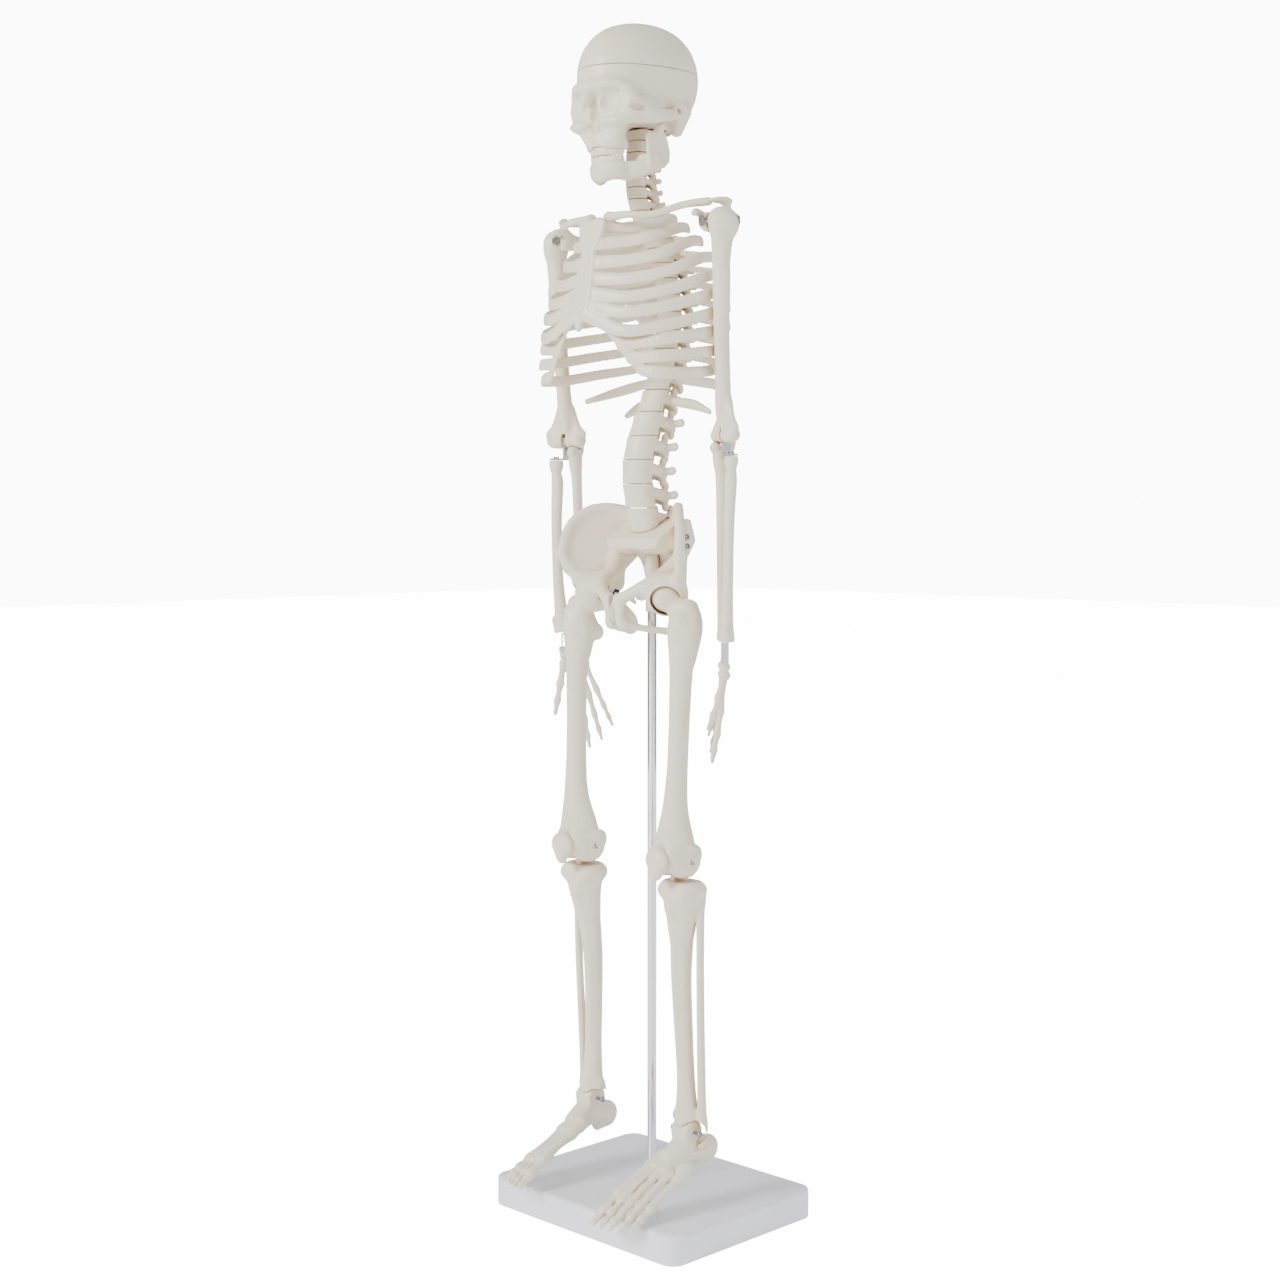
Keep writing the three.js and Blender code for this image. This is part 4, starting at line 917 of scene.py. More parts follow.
def scapula():
    """A thin triangle with thick borders, its ridge and hook, and the seat of the arm's ball."""
    origin, across, below = (np.array(part, float) for part in ((30, 41, 702), (62, 6, 702), (36, 39, 641)))
    level = (across - origin) / np.linalg.norm(across - origin)
    normal = np.cross(level, below - origin)
    down = np.cross(normal / np.linalg.norm(normal), level)
    outline = [(2, -4), (16, -1.5), (30, -1), (42, -4), (45, 4), (44, 12), (38, 18), (30, 30), (20, 48)]
    outline += [(12, 62), (8.5, 64), (5, 60), (0, 42), (-3, 26), (-2, 10)]
    steps = [add(plate(outline, 2.2, origin, level, down, (20, 24, -0.001), 0.8), 1)]

    def at(u, v, lift=0.0):
        return tuple(origin + level * u + down * v - np.cross(level, down) * lift)

    steps += [
        add(limb([at(44, 12), at(34, 24), at(22, 45), at(11, 61)], [3.2, 2.5, 2.2, 2.4], steps=4), 2),
        add(limb([at(2, -3), at(-2, 14), at(0, 40), at(8, 62)], [1.8, 1.6, 1.7, 2.3], steps=4), 2),
        add(limb([(54, 12, 700), (64, -5, 702), (71, -18, 703.5)], [3.6, 4.6, 6.6]), 4),
    ]
    ridge = [(32, 43, 697), (50, 29, 706), (66, 7, 716), (75, -7, 718)]
    steps.append(add(limb(ridge, [1.6, 2.4, 2.8, 3], 0.7, (0, 0, 1), 5), 2))
    tip = [(72, 0, 717.5), (77.5, -9, 718.2), (74, -17.5, 717.8)]
    steps += [
        add(limb(tip, [3.2, 5, 3.4], 0.5, (0, 0, 1), 4), 2),
        add(limb([(68, -13, 704), (66, -23, 710), (69.5, -30, 708.6)], [3.2, 2.5, 2.3], steps=4), 2),
        carve(egg(SHOULDER, 10.3), 0.8),
        carve(limb([(61, -35, 717.5), (71, -18, 718.5)], 3.9), 0.5),
    ]
    both_sides("scapula_visual", sculpt(steps, FINE + 0.1), "stand", BONE, ["scapula"])


def humerus():
    axis = heading(ELBOW_YAW)
    low = ELBOW + (0, 0, 4.5)
    steps = [add(egg(SHOULDER, 9.4), 1)]
    steps.append(add(egg(SHOULDER + (4, 3, -2), (7.2, 7.6, 9)), 3))
    steps.append(add(egg(SHOULDER + (1, -5, -5), (4.6, 4.2, 8)), 3))
    shaft = [(82.5, -16, 697), (82, -16.4, 684), (81.5, -16.3, 668), (80.8, -15.2, 640), (79.6, -12.4, 600)]
    shaft += [(79, -10.8, 580), tuple(low + (0, 0, 6))]
    steps.append(add(limb(shaft, [8, 6.8, 5.9, 5.5, 5.3, 5.8, 6.4], steps=4), 4))
    steps.append(add(limb([(85.2, -17, 668), (84, -15.5, 645)], [3.2, 2.6]), 4))
    wings = [along(low, axis, distance) for distance in (-13, -7, 0, 7, 12.5)]
    across = heading(ELBOW_YAW + 90)
    steps.append(add(limb(wings, [3.4, 5, 6.2, 5.4, 3.6], 0.72, across, 3), 3))
    for foot, waist, radius in ((-11.5, -4, 3.6), (11, 4, 3.4)):
        ridge = [along(low, axis, foot), along(low, axis, waist) + (0, 0, 17)]
        steps.append(add(limb(ridge, [2.8, radius], 0.7, across), 4))
    spool = [along(ELBOW, axis, distance) for distance in (-10, -6.5, -3, 1, 4.5, 10)]
    steps += [
        add(limb(spool, [6, 4.9, 5.4, 4.7, 5.8, 5.2], steps=3), 1.5),
        carve(egg(along(ELBOW, across, 7) + (0, 0, 11), (5, 3.2, 5.2)), 1.5),
        carve(egg(along(ELBOW, across, -7.4) + (0, 0, 10), (4, 2.4, 4)), 1.5),
    ]
    slot = along(ELBOW, across, -8) + (0, 0, -7)
    steps.append(carve(block(slot - (1.5, 12, 12), slot + (1.5, 12, 12), 0.4, (0, 0, ELBOW_YAW)), 0.4))
    both_sides("humerus_visual", sculpt(steps), "upper_arm", BONE, ["humerus"])


def forearm():
    axis, across = heading(ELBOW_YAW), heading(ELBOW_YAW + 90)
    top = along(ELBOW, axis, 8) - (0, 0, 14.7)
    shaft = [top, top - (0, 0, 3.6), top - (0, 0, 9), top - (0.6, -0.6, 17), (86.5, -13, 500)]
    shaft += [(85.5, -12.8, 462), (83.4, -11.6, 434), (82.4, -10.8, 421)]
    radius = [add(limb(shaft, [5.3, 5.4, 3.9, 4.6, 4.1, 4, 5, 6.4], 0.86, across, 4), 1)]
    radius += [
        keep(block((40, -60, 418.9), (120, 60, top[2] + 0.2), 1.2), 0.6),
        add(egg(tuple(top - (1.4, 0.5, 15)), (3, 3, 4.6)), 2),
        add(limb([(85.6, -15, 428), (84.9, -14.6, 419.8)], [3, 1.6]), 2),
        carve(egg(tuple(top + (0, 0, 2.8)), (4, 4, 3.6)), 0.6),
    ]
    both_sides("radius_visual", sculpt(radius, FINE + 0.1), "forearm", BONE, ["radius"])
    start = along(ELBOW, axis, -8) - (0, 0, 3)
    shaft = [start - (0, 0, 4), start - (0, 0, 14), start - (0, -1.2, 26), (72, -4.6, 500), (71.4, -4, 460)]
    shaft += [(71.1, -3.6, 430), (71, -3.5, 421.5)]
    ulna = [add(limb(shaft, [5.6, 5.4, 4.3, 3.9, 3.4, 3.1, 3.6], 0.88, axis, 4), 1)]
    ulna += [
        add(egg(along(ELBOW, axis, -6) + (2.2, 8, 2), (4.2, 3, 8), (0, 0, ELBOW_YAW)), 2),
        add(egg(along(ELBOW, axis, -7) + (2, 5.6, -6), (4.4, 4.8, 7), (0, 0, ELBOW_YAW)), 2),
        add(egg(along(ELBOW, across, -5) + (-6.8, 2.4, -8.4), (3.6, 3, 3.4)), 2),
        add(limb([(69.6, -2, 424), (69, -1.4, 419.6)], [2, 1.2]), 1),
    ]
    barrel = [along(ELBOW, axis, -30), along(ELBOW, axis, 30)]
    ulna.append(carve(limb(barrel, 6.5), 0.5))
    tab = along(ELBOW, axis, 10.4) - (0, 0, 10)
    ulna.append(carve(block(tab - (12, 15, 20), tab + (12, 15, 20), 0.8, (0, 0, ELBOW_YAW)), 0.5))
    both_sides("ulna_visual", sculpt(ulna, FINE + 0.1), "forearm", BONE, ["ulna"])


def digit(root, tip, joints, thick, lift=(0, 0, 0)):
    """One ray of bones from root to tip, with knobs at the joints given as shares of its length."""
    root, tip = np.array(root, float), np.array(tip, float)
    rows = []
    knots = [0.0, *joints, 1.0]
    for index, (start, end) in enumerate(zip(knots, knots[1:])):
        slim = 1 - 0.1 * index
        rows += [
            (start + 0.01, thick * slim),
            ((start + end) / 2, thick * slim * 0.66),
            (end - 0.015, thick * slim * (0.95 if index < len(knots) - 2 else 0.62)),
        ]
    sag = np.array(lift, float)
    points = [root + (tip - root) * share + sag * math.sin(math.pi * share) for share, _ in rows]
    return limb(points, [radius for _, radius in rows], steps=2)


def hand_bones():
    """Drawn at the wrist's pivot: +X towards the thumb, -Z towards the fingertips and -Y the palm."""
    steps = []
    for row, (z, xs) in enumerate([(-4.2, (-8.6, -3.6, 1.4, 6)), (-10, (-9.4, -4.4, 0.6, 6))]):
        for x in xs:
            steps.append(add(egg((x, 0.4 * row, z), (3.5, 4.2, 3.6)), 1))
    rays = [
        ((6.5, -0.5, -10), (12.5, -9, -47), (0.42, 0.75), 3.3),
        ((2.6, 0, -11.5), (-1, -5, -69), (0.42, 0.68, 0.86), 3),
        ((-1.6, 0, -12), (-13, -4, -73), (0.4, 0.67, 0.86), 3),
        ((-5.6, 0, -11.5), (-22, -5, -67), (0.4, 0.67, 0.86), 2.9),
        ((-9.4, 0, -11), (-30, -7, -56), (0.42, 0.68, 0.86), 2.7),
    ]
    for root, tip, joints, thick in rays:
        steps.append(add(digit(root, tip, joints, thick, (0, 1.2, 0)), 0.9))
    steps.append(add(limb([(-6, 0, 0), (6.2, 0, 0)], 2.5), 1))
    steps.append(add(block((-6, -1.8, -6), (6, 1.8, 0)), 1))
    return sculpt(steps, FINE - 0.05)


def hands():
    surface = hand_bones()
    for side, sign in SIDES.items():
        yaw = Matrix.Rotation(math.radians(PALM_YAW), 4, "Z")
        curl = Matrix.Rotation(math.radians(-POSE[side]["hand"]), 4, "X")
        placed = moved(surface, Matrix.Translation(WRIST) @ yaw @ curl)
        placed = placed if sign > 0 else mirrored(placed)
        piece(f"hand_{side}_visual", placed, f"hand_{side}", BONE, [f"hand_{side}"])


# Pelvis -----------------------------------------------------------------------------------------


def sacrum():
    """A thick wedge between the blades, with its paired holes, its crest and the tail."""
    side_view = [(-21, 482), (-21, 505), (13, 505), (19, 488), (18, 470), (13, 455), (8, 445), (3.4, 443)]
    side_view += [(4, 460), (5, 473), (1, 478.6), (-9, 480.5)]
    front_view = [(-27, 503), (27, 503), (27, 488), (15, 468), (7, 447), (-7, 447), (-15, 468), (-27, 488)]
    steps = [add(plate(side_view, 54, (0, 0, 0), (0, 1, 0), (0, 0, 1), soft=3), 1)]
    steps.append(keep(plate(front_view, 90, (0, 0, 0), (1, 0, 0), (0, 0, 1), soft=3), 2.5))
    for side in BOTH:
        for x, z in ((10, 476), (9, 468.5), (7.6, 461)):
            steps.append(carve(limb([(side * x, 9, z), (side * (x - 1), 30, z - 1)], 1.6), 1.6))
        steps.append(carve(blade_plate(4.2, side), 0.3))
        wing = [(side * 10, -14.5, 482.4), (side * 18, -10.5, 483), (side * 26, -5, 485)]
        steps.append(add(limb(wing, [3.6, 4.2, 4.6], steps=3), 7))
    for z in (490, 480.5, 471, 462):
        crest = [(0, 17, z), (0, 20 - (490 - z) * 0.13, z - 3)]
        steps.append(add(limb(crest, [2.6, 1.8], 0.6, (1, 0, 0)), 2))
    steps.append(carve(below_seat_room(), 0.4))
    tail = [(0, 6, 447), (0, 3.6, 440.5), (0, 0, 436.8)]
    steps.append(add(limb(tail, [4.2, 2.8, 1.6], 0.8, (0, 1, 0), 3), 1))
    steps.append(carve(limb([(0, 0, 470), (0, 0, 485)], 5.2), 0.6))
    piece("sacrum_visual", sculpt(steps, FINE + 0.1), "stand", BONE, ["sacrum"])
    sleeve = lathe([(0, 4.3), (0.02, 4.7), (0.97, 4.7), (1, 4.4)], (0, 0, 436.5), (0, 0, 477.4), 48)
    piece("rod_sleeve", sleeve, "stand", GRISTLE, sharp=40)
    surface = sculpt([add(egg((0, -37.4, 438.5), (2.1, 3.6, 8.6)), 0.5)], 0.5)
    piece("symphysis_visual", surface, "stand", GRISTLE, ["pubic_symphysis"])


def below_seat_room():
    """The room over the sacrum's sloping seat, which the lowest lumbar drum fills."""
    (y0, z0), (y1, z1) = SACRAL_SEAT
    slope = (z1 - z0) / (y1 - y0)
    outline = [(-60, z0 + slope * (-60 - y0)), (y1, z1), (y1, 530), (-60, 530)]
    return plate(outline, 140, (0, 0, 0), (0, 1, 0), (0, 0, 1), soft=0.3)


def blade_plate(thickness, side=1):
    way = heading(BLADE_YAW) * (side, 1, 1)
    return plate(BLADE_RIM, thickness, np.array(BLADE_HEEL) * (side, 1, 1), way, (0, 0, 1))


def blade_point(u, v):
    return tuple(along(BLADE_HEEL, heading(BLADE_YAW), u) + (0, 0, v))


def hip_bone():
    """The fan of the ilium with its thick crest, the cup, and the ring round the lower opening."""
    way = heading(BLADE_YAW)
    steps = [add(plate(BLADE_RIM, 3.4, BLADE_HEEL, way, (0, 0, 1), (18, 482, 0.0026)), 1)]
    inner = np.cross(way, (0, 0, 1))

    def crest_at(u, v):
        bulge = 0.0026 * ((u - 18) ** 2 + (v - 482) ** 2)
        return tuple(np.array(blade_point(u, v)) + inner * bulge)

    crest = [(-9, 502), (-1, 508.6), (7.3, 510.6), (14.5, 511), (23, 509.6), (31, 505.6), (37.6, 499.2)]
    crest += [(41.6, 491), (44.2, 478.5)]
    radii = [3.4, 3, 2.6, 2.3, 2.2, 2.3, 2.6, 2.8, 3]
    steps.append(add(limb([crest_at(*point) for point in crest], radii, steps=4), 5))
    front = [(44.2, 478.5), (41, 472), (38.8, 467.2), (33, 461)]
    steps.append(add(limb([crest_at(*point) for point in front], [2.9, 2.6, 3.6, 4.6], steps=4), 5))
    back = [(-9, 502), (-11, 490), (-5.6, 478), (3, 468), (5, 456)]
    steps.append(add(limb([crest_at(*point) for point in back], [3.8, 5, 4.6, 5, 5.6], steps=4), 5))
    steps.append(add(egg(tuple(HIP - (1, -1, -1)), 15.2), 7))
    line = [blade_point(3, 478), (27, -12, 466), (24.5, -26, 458), (14, -35, 451), (5, -38, 446)]
    steps.append(add(limb(line, [4.4, 5.6, 5.4, 4.2, 4.4], steps=5), 5))
    seat = [(33, -14, 446), (31, -4, 438), (28, 4, 429.5), (26.8, 5.5, 425)]
    steps += [
        add(limb(seat, [8, 6.8, 6.6, 5.8], 0.85, (1, 0, 0), 4), 5),
        add(limb([(29, 3, 448), (24, 7, 442)], [3, 1.6], 0.6, (1, 0, 0)), 3),
        add(limb([(5, -37.8, 446), (4.8, -37, 434), (6, -35, 428.6)], [4.4, 4, 3.6], 0.8, (0, 1, 0)), 3),
    ]
    ramus = [(5.6, -35.6, 430.5), (12.5, -25, 426.6), (20, -9, 424), (25.6, 3, 423)]
    steps += [
        add(limb(ramus, [3.8, 3.1, 3.3, 4.2], 0.8, (0, 0, 1), 5), 3),
        carve(egg(tuple(HIP + (0.8, -0.6, -0.6)), 12.4), 0.8),
        carve(egg(tuple(HIP + (11, -14, -5.6)), (15, 14.6, 13.6)), 1.5),
        carve(limb([HIP - (30, 0, 0), HIP - (14.6, 0, 0)], 5.4), 0.8),
        carve(limb([HIP - (16, 0, 0), HIP], 1.9), 0.3),
        keep(block((1.95, -70, 400), (90, 60, 540), 0.5), 0.5),
    ]
    for head in SI_HEADS:
        steps.append(carve(limb([along(head, SI_WAY, -9), along(head, SI_WAY, -0.6)], 2.7), 0.4))
    both_sides("hip_bone_visual", sculpt(steps), "stand", BONE, ["hip_bone"])


# Leg (left) -------------------------------------------------------------------------------------


def femur():
    steps = [add(egg(tuple(HIP), HIP_RADIUS), 1)]
    neck = [tuple(HIP), (44, -23.4, 445), (51, -22, 437)]
    steps.append(add(limb(neck, [7.4, 7.4, 9.6], 0.85, (0, 1, 0), 4), 3))
    top = [(56.4, -20.6, 441), (57.4, -20.2, 432), (56.4, -21, 421), (54.6, -22, 408)]
    steps += [
        add(limb(top, [6.8, 8.4, 8.4, 6.6], steps=3), 4),
        add(limb([(52, -22, 430), (48, -21, 421), (50, -22, 408)], [9, 7.6, 6.6], steps=3), 4),
        add(egg((43, -13, 420.5), (4.6, 4.6, 5.6)), 3.5),
        add(limb([(54.5, -13, 439), (45.5, -11.6, 423)], [3.4, 2.6]), 4),
        add(limb([(57, -30, 436), (50, -31, 420)], [2.2, 1.6]), 5),
    ]
    shaft = [(53, -22.6, 426), (52.6, -23.6, 408), (52.2, -25.2, 388), (51.5, -26.6, 352), (51, -27.4, 325)]
    shaft += [(50, -27.6, 302), (49.2, -27.2, 290), (48.5, -26.4, 279), (48.2, -25.6, 271)]
    steps.append(add(limb(shaft, [11.4, 9.4, 7.7, 7, 7.4, 9.4, 11.6, 14, 14.6], 0.94, (0, 1, 0), 5), 4))
    steps.append(add(limb([(53, -18, 395), (51.8, -19.8, 350), (50.8, -20, 315)], [2.2, 2.4, 2]), 5))
    for x, low in ((40, 266), (56.2, 266.4)):
        steps.append(add(egg((x, KNEE[1], low), (7.9, 14.2, 12.6)), 3))
        steps.append(add(egg((x + (48 - x) * 0.25, -33, 270), (6.6, 9, 10)), 3))
    steps += [
        add(egg((33.4, -20, 271), (3, 6.4, 7)), 3),
        add(egg((62.4, -20.5, 271.5), (2.6, 6.4, 6.4)), 3),
        carve(limb([(48, -2, 264), (48, -12, 256), (48, -20, 249)], [4.8, 4.2, 3.6], 0.8, (1, 0, 0)), 2),
        carve(limb([(48, -47, 286), (48, -48.6, 270), (48, -43, 256)], [3.6, 5, 4]), 3.5),
        keep(block((20, -80, 254.2), (90, 30, 480), 2), 2),
    ]
    both_sides("femur_visual", sculpt(steps), "thigh", BONE, ["femur"])
    cap = [add(egg((48, -43.8, 268), (9.8, 5, 9)), 1), add(egg((48, -44.2, 260.5), (5, 4, 6.6)), 3)]
    both_sides("patella_visual", sculpt(cap, FINE), "thigh", BONE, ["patella"])


def shin_bones():
    steps = []
    for x in (42.2, 58.6):
        steps.append(add(egg((x, -20.8, 245), (9, 13.6, 8)), 4))
    steps += [
        add(limb([(50.4, -21, 246), (50, -21, 236), (49.5, -20.4, 218)], [13, 13, 9.2], 0.88, (0, 1, 0)), 5),
        keep(block((20, -60, 180), (90, 30, 251.8), 1.4), 1),
        add(limb([(48.3, -19.6, 251.4), (48.3, -19.6, 250)], [1.8, 2.6]), 1.5),
        add(egg((49, -31.2, 234.5), (4.8, 3.6, 7)), 4),
    ]
    shaft = [(49.6, -20.6, 232), (48, -18.8, 205), (47, -17.8, 181), (48.4, -17.2, 150), (50.4, -17.2, 118)]
    shaft += [(51.6, -17.6, 98), (52.6, -18.4, 86), (53, -18.8, 80)]
    steps.append(add(limb(shaft, [10.6, 8.4, 7.4, 6.7, 6.5, 7.4, 9, 9.6], 0.92, (0, 1, 0), 5), 4))
    ridge = [(49, -30, 232), (46.8, -25.4, 205), (45.6, -23.4, 181), (47, -22.6, 150), (49.6, -22, 120)]
    steps.append(add(limb(ridge, [2.4, 1.7, 1.5, 1.4, 1.3], steps=4), 4))
    inner_ankle = [(44.6, -18, 84), (42.6, -17, 74), (42.8, -17, 69)]
    steps.append(add(limb(inner_ankle, [5, 3.6, 2.6], 0.8, (1, 0, 0), 3), 3))
    fibula = [(61.6, -15, 244), (62.4, -15.2, 238), (63, -15.8, 226), (63.6, -16.4, 181), (63.8, -15.6, 130)]
    fibula += [(64, -15, 92), (64.2, -15, 80), (64.3, -15.4, 70), (64, -16, 64.8)]
    steps += [
        add(limb(fibula, [4.4, 4.4, 3.2, 3, 3.2, 3.5, 4.6, 4, 2.2], 0.88, (1, 0, 0), 4), 1.5),
        add(limb([(55, -16, 88), (62, -15, 86)], [4, 3.4]), 2.5),
        add(limb([(57, -18, 243), (61, -16, 241)], [4, 3]), 2),
    ]
    barrel = [ANKLE - (7.6, 0, 0), ANKLE + (7.6, 0, 0)]
    steps += [
        carve(block(ANKLE - (7.9, 40, 40), ANKLE + (7.9, 40, 1), 0.6), 0.5),
        carve(limb(barrel, TALUS_RADIUS + 0.4), 0.4),
        add(limb([KNEE - (2, 0, 0), KNEE + (2, 0, 0)], 4), 0.5),
        add(block(KNEE - (2.2, 4.2, 17), KNEE + (2.2, 4.2, 0), 0.6), 1),
    ]
    return sculpt(steps)


def shin_matrix(side):
    """The shin's swing about the knee."""
    swing = Matrix.Rotation(math.radians(POSE[side]["shin"]), 4, "X")
    return Matrix.Translation(KNEE) @ swing @ Matrix.Translation(-Vector(KNEE))


def foot_bones(side):
    """Drawn at the ankle's axis. The talus keeps to that axis whatever the foot's droop and roll."""
    droop, roll = (math.radians(POSE[side][key]) for key in ("droop", "roll"))
    turned = np.array(Matrix.Rotation(droop, 3, "X") @ Matrix.Rotation(roll, 3, "Y"))

    def at(*points):
        return [tuple(turned @ np.array(point, float)) for point in points]

    up = tuple(turned @ np.array([0, 0, 1.0]))
    steps = [add(limb(at((0.5, -5, -6), (0.6, -14, -9), (0.2, -20, -11)), [7.6, 7, 6.8], 0.9, up), 3)]
    heel = at((2.4, -10, -13), (2.6, 0, -13.5), (3, 9, -17.5), (3.2, 15, -20))
    steps += [
        add(limb(heel, [7, 8.6, 9.4, 9], 0.86, tuple(turned @ np.array([1.0, 0, 0])), 3), 4),
        add(limb(at((1.5, -6, -13), (2, -16, -17), (7, -20, -20)), [7, 6.6, 5.6]), 4),
        add(limb(at((3.4, 14, -25), (3, 4, -26)), [5.4, 3.8]), 4),
    ]
    for centre, radius in (
        ((-6, -21, -12.5), 5), ((-7.4, -29.5, -14.6), 4.9), ((-1.6, -29, -12.4), 4.4),
        ((3.8, -28, -14.4), 4.2), ((10, -17, -19.5), 5.2), ((11.4, -24.5, -21.5), 4.8),
    ):
        ends = at(np.subtract(centre, (0, 1.8, 0.4)), np.add(centre, (0, 1.8, 0.4)))
        steps.append(add(limb(ends, radius, 0.92, up), 1))
    rays = [
        ((-7.4, -30, -15), (-10.4, -88.5, -29.3), (0.54, 0.8), 4.8, 2.2),
        ((-2.6, -30, -13.6), (-3.8, -88, -30.4), (0.6, 0.79, 0.9), 3.5, 3),
        ((2.4, -29, -14.8), (2.8, -86, -31), (0.6, 0.79, 0.9), 3.4, 2.6),
        ((7, -27, -17.4), (9, -82.5, -31.8), (0.6, 0.79, 0.9), 3.4, 1.8),
        ((11.4, -22, -20.8), (14.8, -77.5, -32.4), (0.62, 0.8, 0.9), 3.6, 1),
    ]
    for root, tip, joints, thick, lift in rays:
        ends = at(root, tip)
        steps.append(add(digit(*ends, joints, thick, np.array(up) * lift), 0.9))
    steps.append(add(limb([(-7.3, 0, 0), (7.3, 0, 0)], TALUS_RADIUS - 0.2), 2))
    for low, high in ((-20, -7.5), (7.5, 20)):
        steps.append(carve(block((low, -13, -13), (high, 13, 14), 0.6), 0.6))
    return sculpt(steps, FINE)


def legs():
    shin = shin_bones()
    for side, sign in SIDES.items():
        swing = shin_matrix(side)
        foot = moved(foot_bones(side), swing @ Matrix.Translation(ANKLE))
        placed = [moved(shin, swing), foot]
        placed = placed if sign > 0 else [mirrored(surface) for surface in placed]
        shin_node, foot_node = f"tibia_and_fibula_{side}", f"foot_{side}"
        piece(f"{shin_node}_visual", placed[0], f"shin_{side}", BONE, [shin_node])
        piece(f"{foot_node}_visual", placed[1], foot_node, BONE, [foot_node])


# Hardware ---------------------------------------------------------------------------------------


def screws():
    """The bright screws, nuts and washers that hold the joints, on both sides."""
    way = heading(SHOULDER_YAW)
    shoulder = bolt(along(SHOULDER, way, -15.4), along(SHOULDER, way, 13), 1.5, 3.7, 3.6, 4.6)
    both_sides("shoulder_screw_visual", shoulder, "stand", STEEL, ["shoulder_screw"], 35)
    tail = HIP - (27, 0, 0)
    coil = [
        (HIP[0] - 24 + 9 * share, HIP[1] + 3 * math.cos(40 * share), HIP[2] + 3 * math.sin(40 * share))
        for share in np.linspace(0, 1, 90)
    ]
    spring = sculpt([add(limb(coil, 0.55), 0.05)], 0.3)
    nut = lathe([(0, 4), (0.12, 4.5), (0.88, 4.5), (1, 4)], tail, tail + (3, 0, 0), 6)
    shank = lathe([(0, 1.2), (0.04, 1.5), (1, 1.5)], tail - (0.8, 0, 0), HIP + (4, 0, 0), 24)
    washer = lathe([(0, 4.4), (1, 4.4)], HIP - (15.1, 0, 0), HIP - (14.5, 0, 0), 40)
    hip = merged(spring, nut, shank, washer)
    both_sides("hip_screw_visual", hip, "stand", CHROME, ["hip_screw"], 35)
    knee = merged(
        bolt(KNEE, KNEE + (16.8, 0, 0), 1.5, 3), bolt(KNEE, KNEE - (16.8, 0, 0), 1.5, 2.8)
    )
    both_sides("knee_pin_visual", knee, "thigh", STEEL, ["knee_pin"], 35)
    for place, head in zip(("upper", "lower"), SI_HEADS):
        screw = bolt(along(head, SI_WAY, 15), along(head, SI_WAY, -1.2), 1, 2.3)
        node = f"sacroiliac_screw_{place}"
        both_sides(f"{node}_visual", screw, "stand", STEEL, [node], 35)
    ankle = merged(bolt(ANKLE, ANKLE + (14.2, 0, 0), 1.2, 2.2), bolt(ANKLE, ANKLE - (14.2, 0, 0), 1.2, 2.2))
    for side, sign in SIDES.items():
        placed = moved(ankle, shin_matrix(side))
        placed = placed if sign > 0 else mirrored(placed)
        node = f"ankle_pin_{side}"
        piece(f"{node}_visual", placed, f"shin_{side}", STEEL, [node], 35)


def polish(node, material, bevel=0.0):
    """Keeps a CAD node and gives it a material, with its edges eased."""
    thing = frame["nodes"][node]
    thing.data.materials.clear()
    thing.data.materials.append(material)
    if bevel:
        ease = thing.modifiers.new("eased edges", "BEVEL")
        ease.width, ease.segments, ease.angle_limit = bevel * MM, 2, math.radians(40)


def fittings():
    """The elbow brackets, wrist straps and small inner pieces keep their CAD shape."""
    for side in SIDES:
        polish(f"elbow_bracket_{side}", CHROME, 0.2)
        polish(f"wrist_strap_{side}", CHROME, 0.2)
    polish("threaded_insert", STEEL)
    polish("neck_pin", STEEL)


# Stand ------------------------------------------------------------------------------------------


def base_plate():
    """The moulded base: a block with round corners and soft edges, and the well of the rod's insert."""
    high = np.array(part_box("base_plate")[1]) / MM
    per_corner = 16
    angles = np.concatenate([
        np.linspace(start, start + math.pi / 2, per_corner) for start in np.arange(4) * math.pi / 2
    ])
    diagonals = np.repeat(np.arange(4) * 90 + 45, per_corner) * math.pi / 180
    signs = np.sign(np.column_stack([np.cos(diagonals), np.sin(diagonals)]))
    middles = signs * (high[:2] - BASE_CORNER)
    directions = np.column_stack([np.cos(angles), np.sin(angles)])
    rounds = np.linspace(0, math.pi / 2, 7)
    levels = [
        (high[2] - BASE_EDGE + BASE_EDGE * math.sin(turn), BASE_EDGE * (1 - math.cos(turn)))
        for turn in rounds
    ]
    levels = [(0, 0.5), (0.5, 0), *levels]
    rings = [np.column_stack([middles + directions * (BASE_CORNER - inset), np.full(len(angles), z)])
             for z, inset in levels]
    whole = np.arctan2(rings[-1][:, 1], rings[-1][:, 0])
    circle = np.column_stack([np.cos(whole) * WELL_RADIUS, np.sin(whole) * WELL_RADIUS])
    for z in (high[2], WELL_FLOOR):
        rings.append(np.column_stack([circle, np.full(len(angles), z)]))
    count = len(angles)
    faces = [
        [row * count + place, row * count + (place + 1) % count,
         (row + 1) * count + (place + 1) % count, (row + 1) * count + place]
        for row in range(len(rings) - 1) for place in range(count)
    ]
    faces.append(list(range(count))[::-1])
    faces.append([(len(rings) - 1) * count + place for place in range(count)])
    surface = (np.vstack(rings), faces)
    piece("base_plate_visual", surface, "stand", BASE, ["base_plate"], 30)


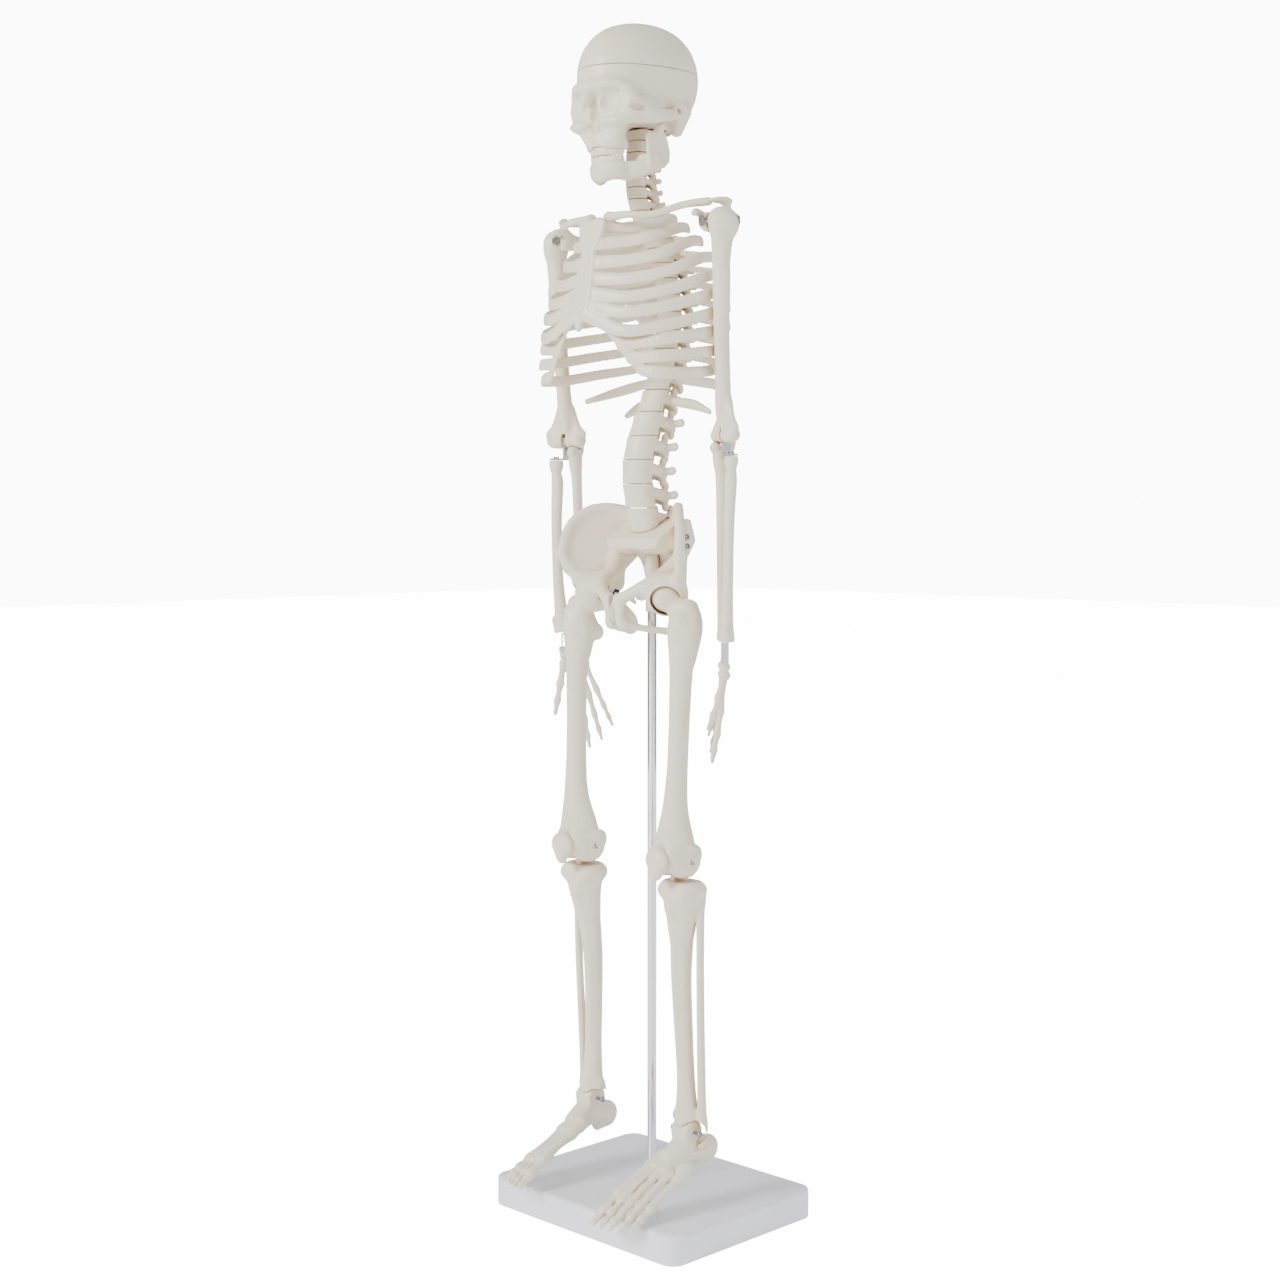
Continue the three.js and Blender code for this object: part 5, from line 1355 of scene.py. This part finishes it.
def rod():
    shaft = lathe([(0, 3.1), (0.001, ROD_RADIUS), (1, ROD_RADIUS)], (0, 0, ROD_BOTTOM), (0, 0, ROD_TOP), 96)
    piece("support_rod_visual", shaft, "stand", CHROME, ["support_rod"], 40)
    dome = [(0, 4.1), (0.06, 4.35), (0.3, 4.35), (0.42, 3.9), (0.6, 3.5), (0.8, 2.6), (0.95, 1.3), (1, 0.3)]
    nut = lathe(dome, (0, 0, 477.9), (0, 0, 483.2), 48)
    piece("rod_cap_nut_visual", nut, "stand", CHROME, ["rod_cap_nut"], 50)


# Studio -----------------------------------------------------------------------------------------


def camera():
    data = bpy.data.cameras.new("camera")
    data.lens, data.sensor_width = LENS, SENSOR
    data.clip_start = 0.01
    thing = bpy.data.objects.new("camera", data)
    bpy.context.scene.collection.objects.link(thing)
    yaw, pitch = math.radians(CAMERA_YAW), math.radians(CAMERA_PITCH)
    facing = Vector((-math.sin(yaw) * math.cos(pitch), math.cos(yaw) * math.cos(pitch), -math.sin(pitch)))
    thing.location = CAMERA_PLACE
    thing.rotation_euler = facing.to_track_quat("-Z", "Y").to_euler()
    bpy.context.scene.camera = thing


def lamp(name, place, size, power):
    data = bpy.data.lights.new(name, "AREA")
    data.shape, data.size, data.energy = "DISK", size, power
    thing = bpy.data.objects.new(name, data)
    bpy.context.scene.collection.objects.link(thing)
    thing.location = place
    thing.rotation_euler = (Vector(AIM) - Vector(place)).to_track_quat("-Z", "Y").to_euler()


def dark_card(side):
    """A tall dark card beside the stand that only shiny surfaces see, to draw dark bands on the chrome."""
    across, level = Vector((0.707, 0.707, 0)) * side, Vector((-0.707, 0.707, 0))
    wide, tall = CARD_HALF_WIDTH, CARD_HEIGHT
    rim = ((-wide, 0), (wide, 0), (wide, tall), (-wide, tall))
    corners = [across * CARD_AWAY + level * edge + Vector((0, 0, z)) for edge, z in rim]
    card = bpy.data.meshes.new("dark card")
    card.from_pydata(corners, [], [(0, 1, 2, 3)])
    nodes = Nodes("card black")
    nodes.set(Base_Color=(0.012, 0.012, 0.014, 1), Roughness=0.9)
    card.materials.append(nodes.material)
    thing = bpy.data.objects.new("dark card", card)
    bpy.context.scene.collection.objects.link(thing)
    thing.visible_camera = thing.visible_shadow = thing.visible_diffuse = False


def studio():
    """A white floor and backdrop, a soft dome, two lamps, and the dark cards for the chrome."""
    floor = bpy.data.meshes.new("floor")
    far = FLOOR_REACH
    floor.from_pydata([(-far, -far, 0), (far, -far, 0), (far, far, 0), (-far, far, 0)], [], [(0, 1, 2, 3)])
    nodes = Nodes("floor white")
    cloud = nodes.ramp(nodes.noise(3, 2), (0.3, (0.90, 0.90, 0.90)), (0.7, (0.94, 0.94, 0.94)))
    to_camera = nodes.new("ShaderNodeLightPath").outputs["Is Camera Ray"]
    parts = {0: to_camera, 1: FLOOR_SHOWN, 2: FLOOR_GLOW}
    glow = nodes.new("ShaderNodeMath", parts, operation="MULTIPLY_ADD")
    nodes.set(Base_Color=cloud, Roughness=0.9)
    nodes.set(Emission_Color=(1, 1, 1, 1), Emission_Strength=glow.outputs[0])
    floor.materials.append(nodes.material)
    thing = bpy.data.objects.new("floor", floor)
    bpy.context.scene.collection.objects.link(thing)
    world = bpy.data.worlds.new("studio")
    bpy.context.scene.world = world
    world.use_nodes = True
    tree = world.node_tree
    dome = tree.nodes["Background"]
    dome.inputs["Color"].default_value = (1, 1, 1, 1)
    dome.inputs["Strength"].default_value = DOME_LIGHT
    backdrop = tree.nodes.new("ShaderNodeBackground")
    backdrop.inputs["Strength"].default_value = BACKDROP_LIGHT
    seen = tree.nodes.new("ShaderNodeLightPath")
    mix = tree.nodes.new("ShaderNodeMixShader")
    tree.links.new(seen.outputs["Is Camera Ray"], mix.inputs["Fac"])
    tree.links.new(dome.outputs["Background"], mix.inputs[1])
    tree.links.new(backdrop.outputs["Background"], mix.inputs[2])
    tree.links.new(mix.outputs["Shader"], tree.nodes["World Output"].inputs["Surface"])
    for side in BOTH:
        dark_card(side)
    lamp("key", (-0.6, -2.4, 1.7), size=1.0, power=84)
    lamp("rim", (2.2, 0.9, 1.3), size=0.9, power=20)


camera()
studio()
base_plate()
rod()
skull()
mandible()
spine()
rib_cage()
clavicle()
scapula()
humerus()
forearm()
hands()
sacrum()
hip_bone()
femur()
legs()
screws()
fittings()
